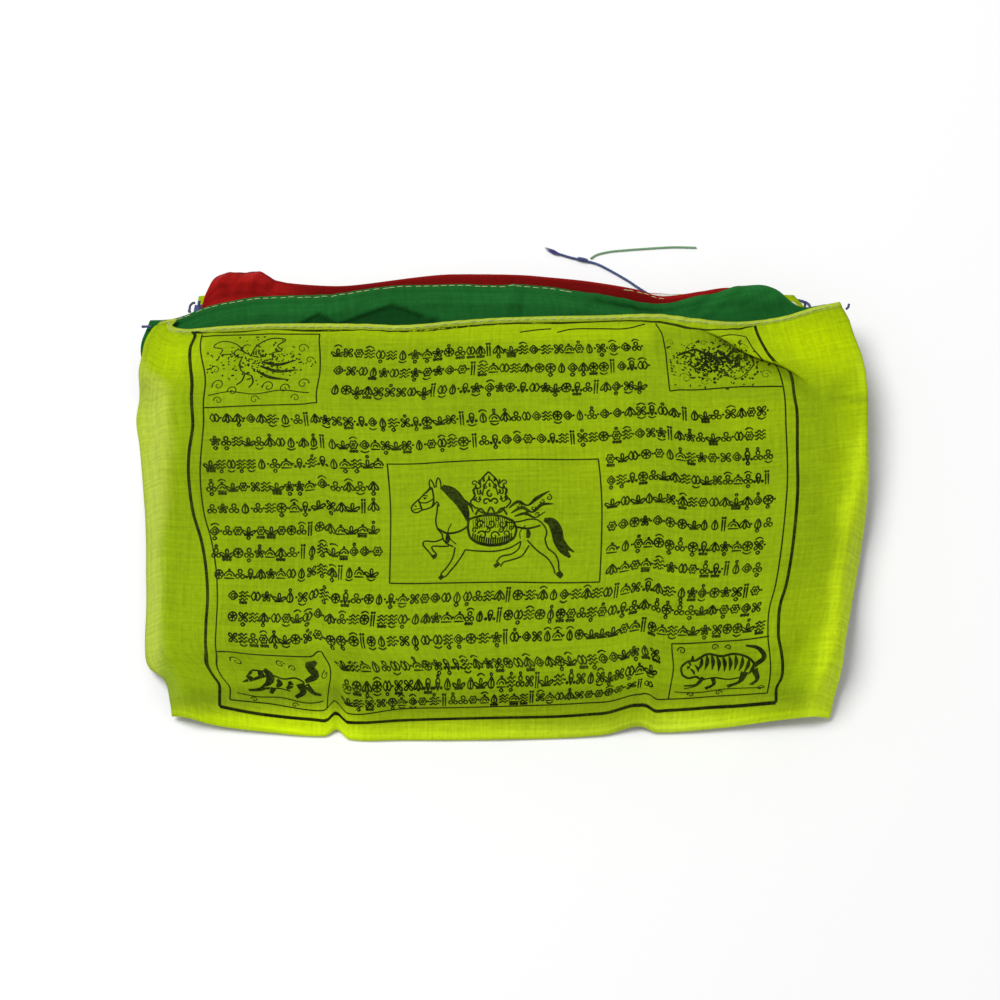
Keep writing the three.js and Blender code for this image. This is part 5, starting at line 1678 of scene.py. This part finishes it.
class FLAGS_OT_lower_flags(bpy.types.Operator):
    """Add the cloths of the nine flags under the top one"""
    bl_idname = "flags.lower_flags"
    bl_label = "Lower Flags"

    def execute(self, context):
        sizes, _, _ = settings()
        for k, row in enumerate(LOWER):
            cloth = lower_surface(row)
            across, up = np.meshgrid(cloth["s"] / CLOTH_WIDTH, cloth["t"] / LOWER_CLOTH_LENGTH)
            flag = sheet_object(row["node"].replace("flag", "cloth"), cloth, sizes.thickness / MM,
                                cloth_materials()[row["slot"]], *lower_tones(row, across, up))
            stand_in(flag, row["slot"], row["node"])
        return {"FINISHED"}


class FLAGS_OT_print(bpy.types.Operator):
    """Print the top flag: frame lines, rows of ornament marks, the middle and the corner pictures"""
    bl_idname = "flags.print"
    bl_label = "Print"

    def execute(self, context):
        sizes, _, _ = settings()
        cloth = top_surface()
        ink = ink_material(tuple(sizes.ink), tuple(sizes.ink_thin), sizes.ink_wear)
        frame_parts = [long_ribbon(cloth, points, wide) for wide, points in FRAME_LINES + PANEL_LINES]
        # The hem line is partly print and partly painted shadow of the hem's puckers
        frame_parts.append(long_ribbon(cloth, stacked(HEM_LINE["s"], HEM_LINE["t"]), HEM_LINE["wide"]))
        strokes, widths = mark_strokes(np.random.default_rng(MARK_SEED))
        swell = 1 + 0.16 * np.sin(np.linspace(0.4, 5.2, strokes.shape[1]))
        marks = [ribbons(cloth, strokes, widths[:, None] * swell, INK_LIFT)]
        horse = figure_lines(cloth, {**HORSE, **horse_fill()}, HORSE_CURLS, "horse", 1.25)
        corners = (figure_lines(cloth, BIRD, BIRD_CURLS, "top_left", 0.8)
                   + figure_lines(cloth, SERPENT, SERPENT_CURLS, "top_right", 0.3)
                   + figure_lines(cloth, LION, LION_CURLS, "bottom_left")
                   + figure_lines(cloth, TIGER, TIGER_CURLS, "bottom_right")
                   + stripe_lines(cloth, "bottom_right")
                   + [speckles(cloth, "top_left", 240, 3, (48, 40), (20, 9), 0.7),
                      speckles(cloth, "top_right", 560, 4, (50, 34), (20, 10), 0.8)])
        pieces = {"print_frame": frame_parts, "print_marks": marks, "print_horse": horse,
                  "print_corners": corners}
        for name, parts in pieces.items():
            points, faces = joined(parts)
            stand_in(new_object(name, points, faces, ink), "cloth_yellow")
        return {"FINISHED"}


class FLAGS_OT_stitches(bpy.types.Operator):
    """Sew the headings: one run of stitches along each flag's hem"""
    bl_idname = "flags.stitches"
    bl_label = "Stitches"

    def execute(self, context):
        sizes, string, _ = settings()
        yarn = yarn_material("stitches", tuple(sizes.stitch), tuple(string.thread_light))
        whole = (4.0, CLOTH_WIDTH - 4.0)
        sewn = {"flag_green_upper": (0.9, (5.0, 160.0)), "flag_red_upper": (1.4, (184.0, 202.0))}
        runs = [("stitches_yellow_top", top_surface(), 1.5, whole)]
        for row in LOWER:
            name = row["node"].replace("flag", "stitches")
            runs.append((name, lower_surface(row), *sewn.get(row["node"], (row["hem"], whole))))
        for k, (name, cloth, hem, reach) in enumerate(runs):
            points, faces = stitch_line(cloth, hem, reach, sizes.stitch_length / MM, sizes.stitch_gap / MM,
                                        sizes.stitch_width / MM, k + 1)
            stand_in(new_object(name, points, faces, yarn), "thread")
        return {"FINISHED"}


class FLAGS_PT_pile(bpy.types.Panel):
    """Settings and steps of the pile"""
    bl_idname = "FLAGS_PT_pile"
    bl_label = "Prayer Flags"
    bl_space_type = "VIEW_3D"
    bl_region_type = "UI"
    bl_category = "Prayer Flags"

    def draw(self, context):
        layout = self.layout
        for group in settings():
            box = layout.box()
            for name in group.__annotations__:
                box.prop(group, name)
        for operator in OPERATORS:
            layout.operator(operator.bl_idname)


GROUPS = {"flag_cloth": ClothSettings, "flag_string": StringSettings, "flag_stage": StageSettings}
OPERATORS = (FLAGS_OT_stage, FLAGS_OT_string_tail, FLAGS_OT_string_links, FLAGS_OT_top_flag,
             FLAGS_OT_lower_flags, FLAGS_OT_print, FLAGS_OT_stitches)


def register():
    """Register the classes and hang the settings on the scene."""
    for cls in (*GROUPS.values(), *OPERATORS, FLAGS_PT_pile):
        bpy.utils.register_class(cls)
    for name, cls in GROUPS.items():
        setattr(bpy.types.Scene, name, PointerProperty(type=cls))


def unregister():
    """Take the settings and the classes away again."""
    for name in GROUPS:
        delattr(bpy.types.Scene, name)
    for cls in reversed((*GROUPS.values(), *OPERATORS, FLAGS_PT_pile)):
        bpy.utils.unregister_class(cls)


def main():
    register()
    bpy.ops.flags.stage()
    bpy.ops.flags.string_tail()
    bpy.ops.flags.string_links()
    bpy.ops.flags.top_flag()
    bpy.ops.flags.lower_flags()
    bpy.ops.flags.print()
    bpy.ops.flags.stitches()


if __name__ == "__main__":
    main()
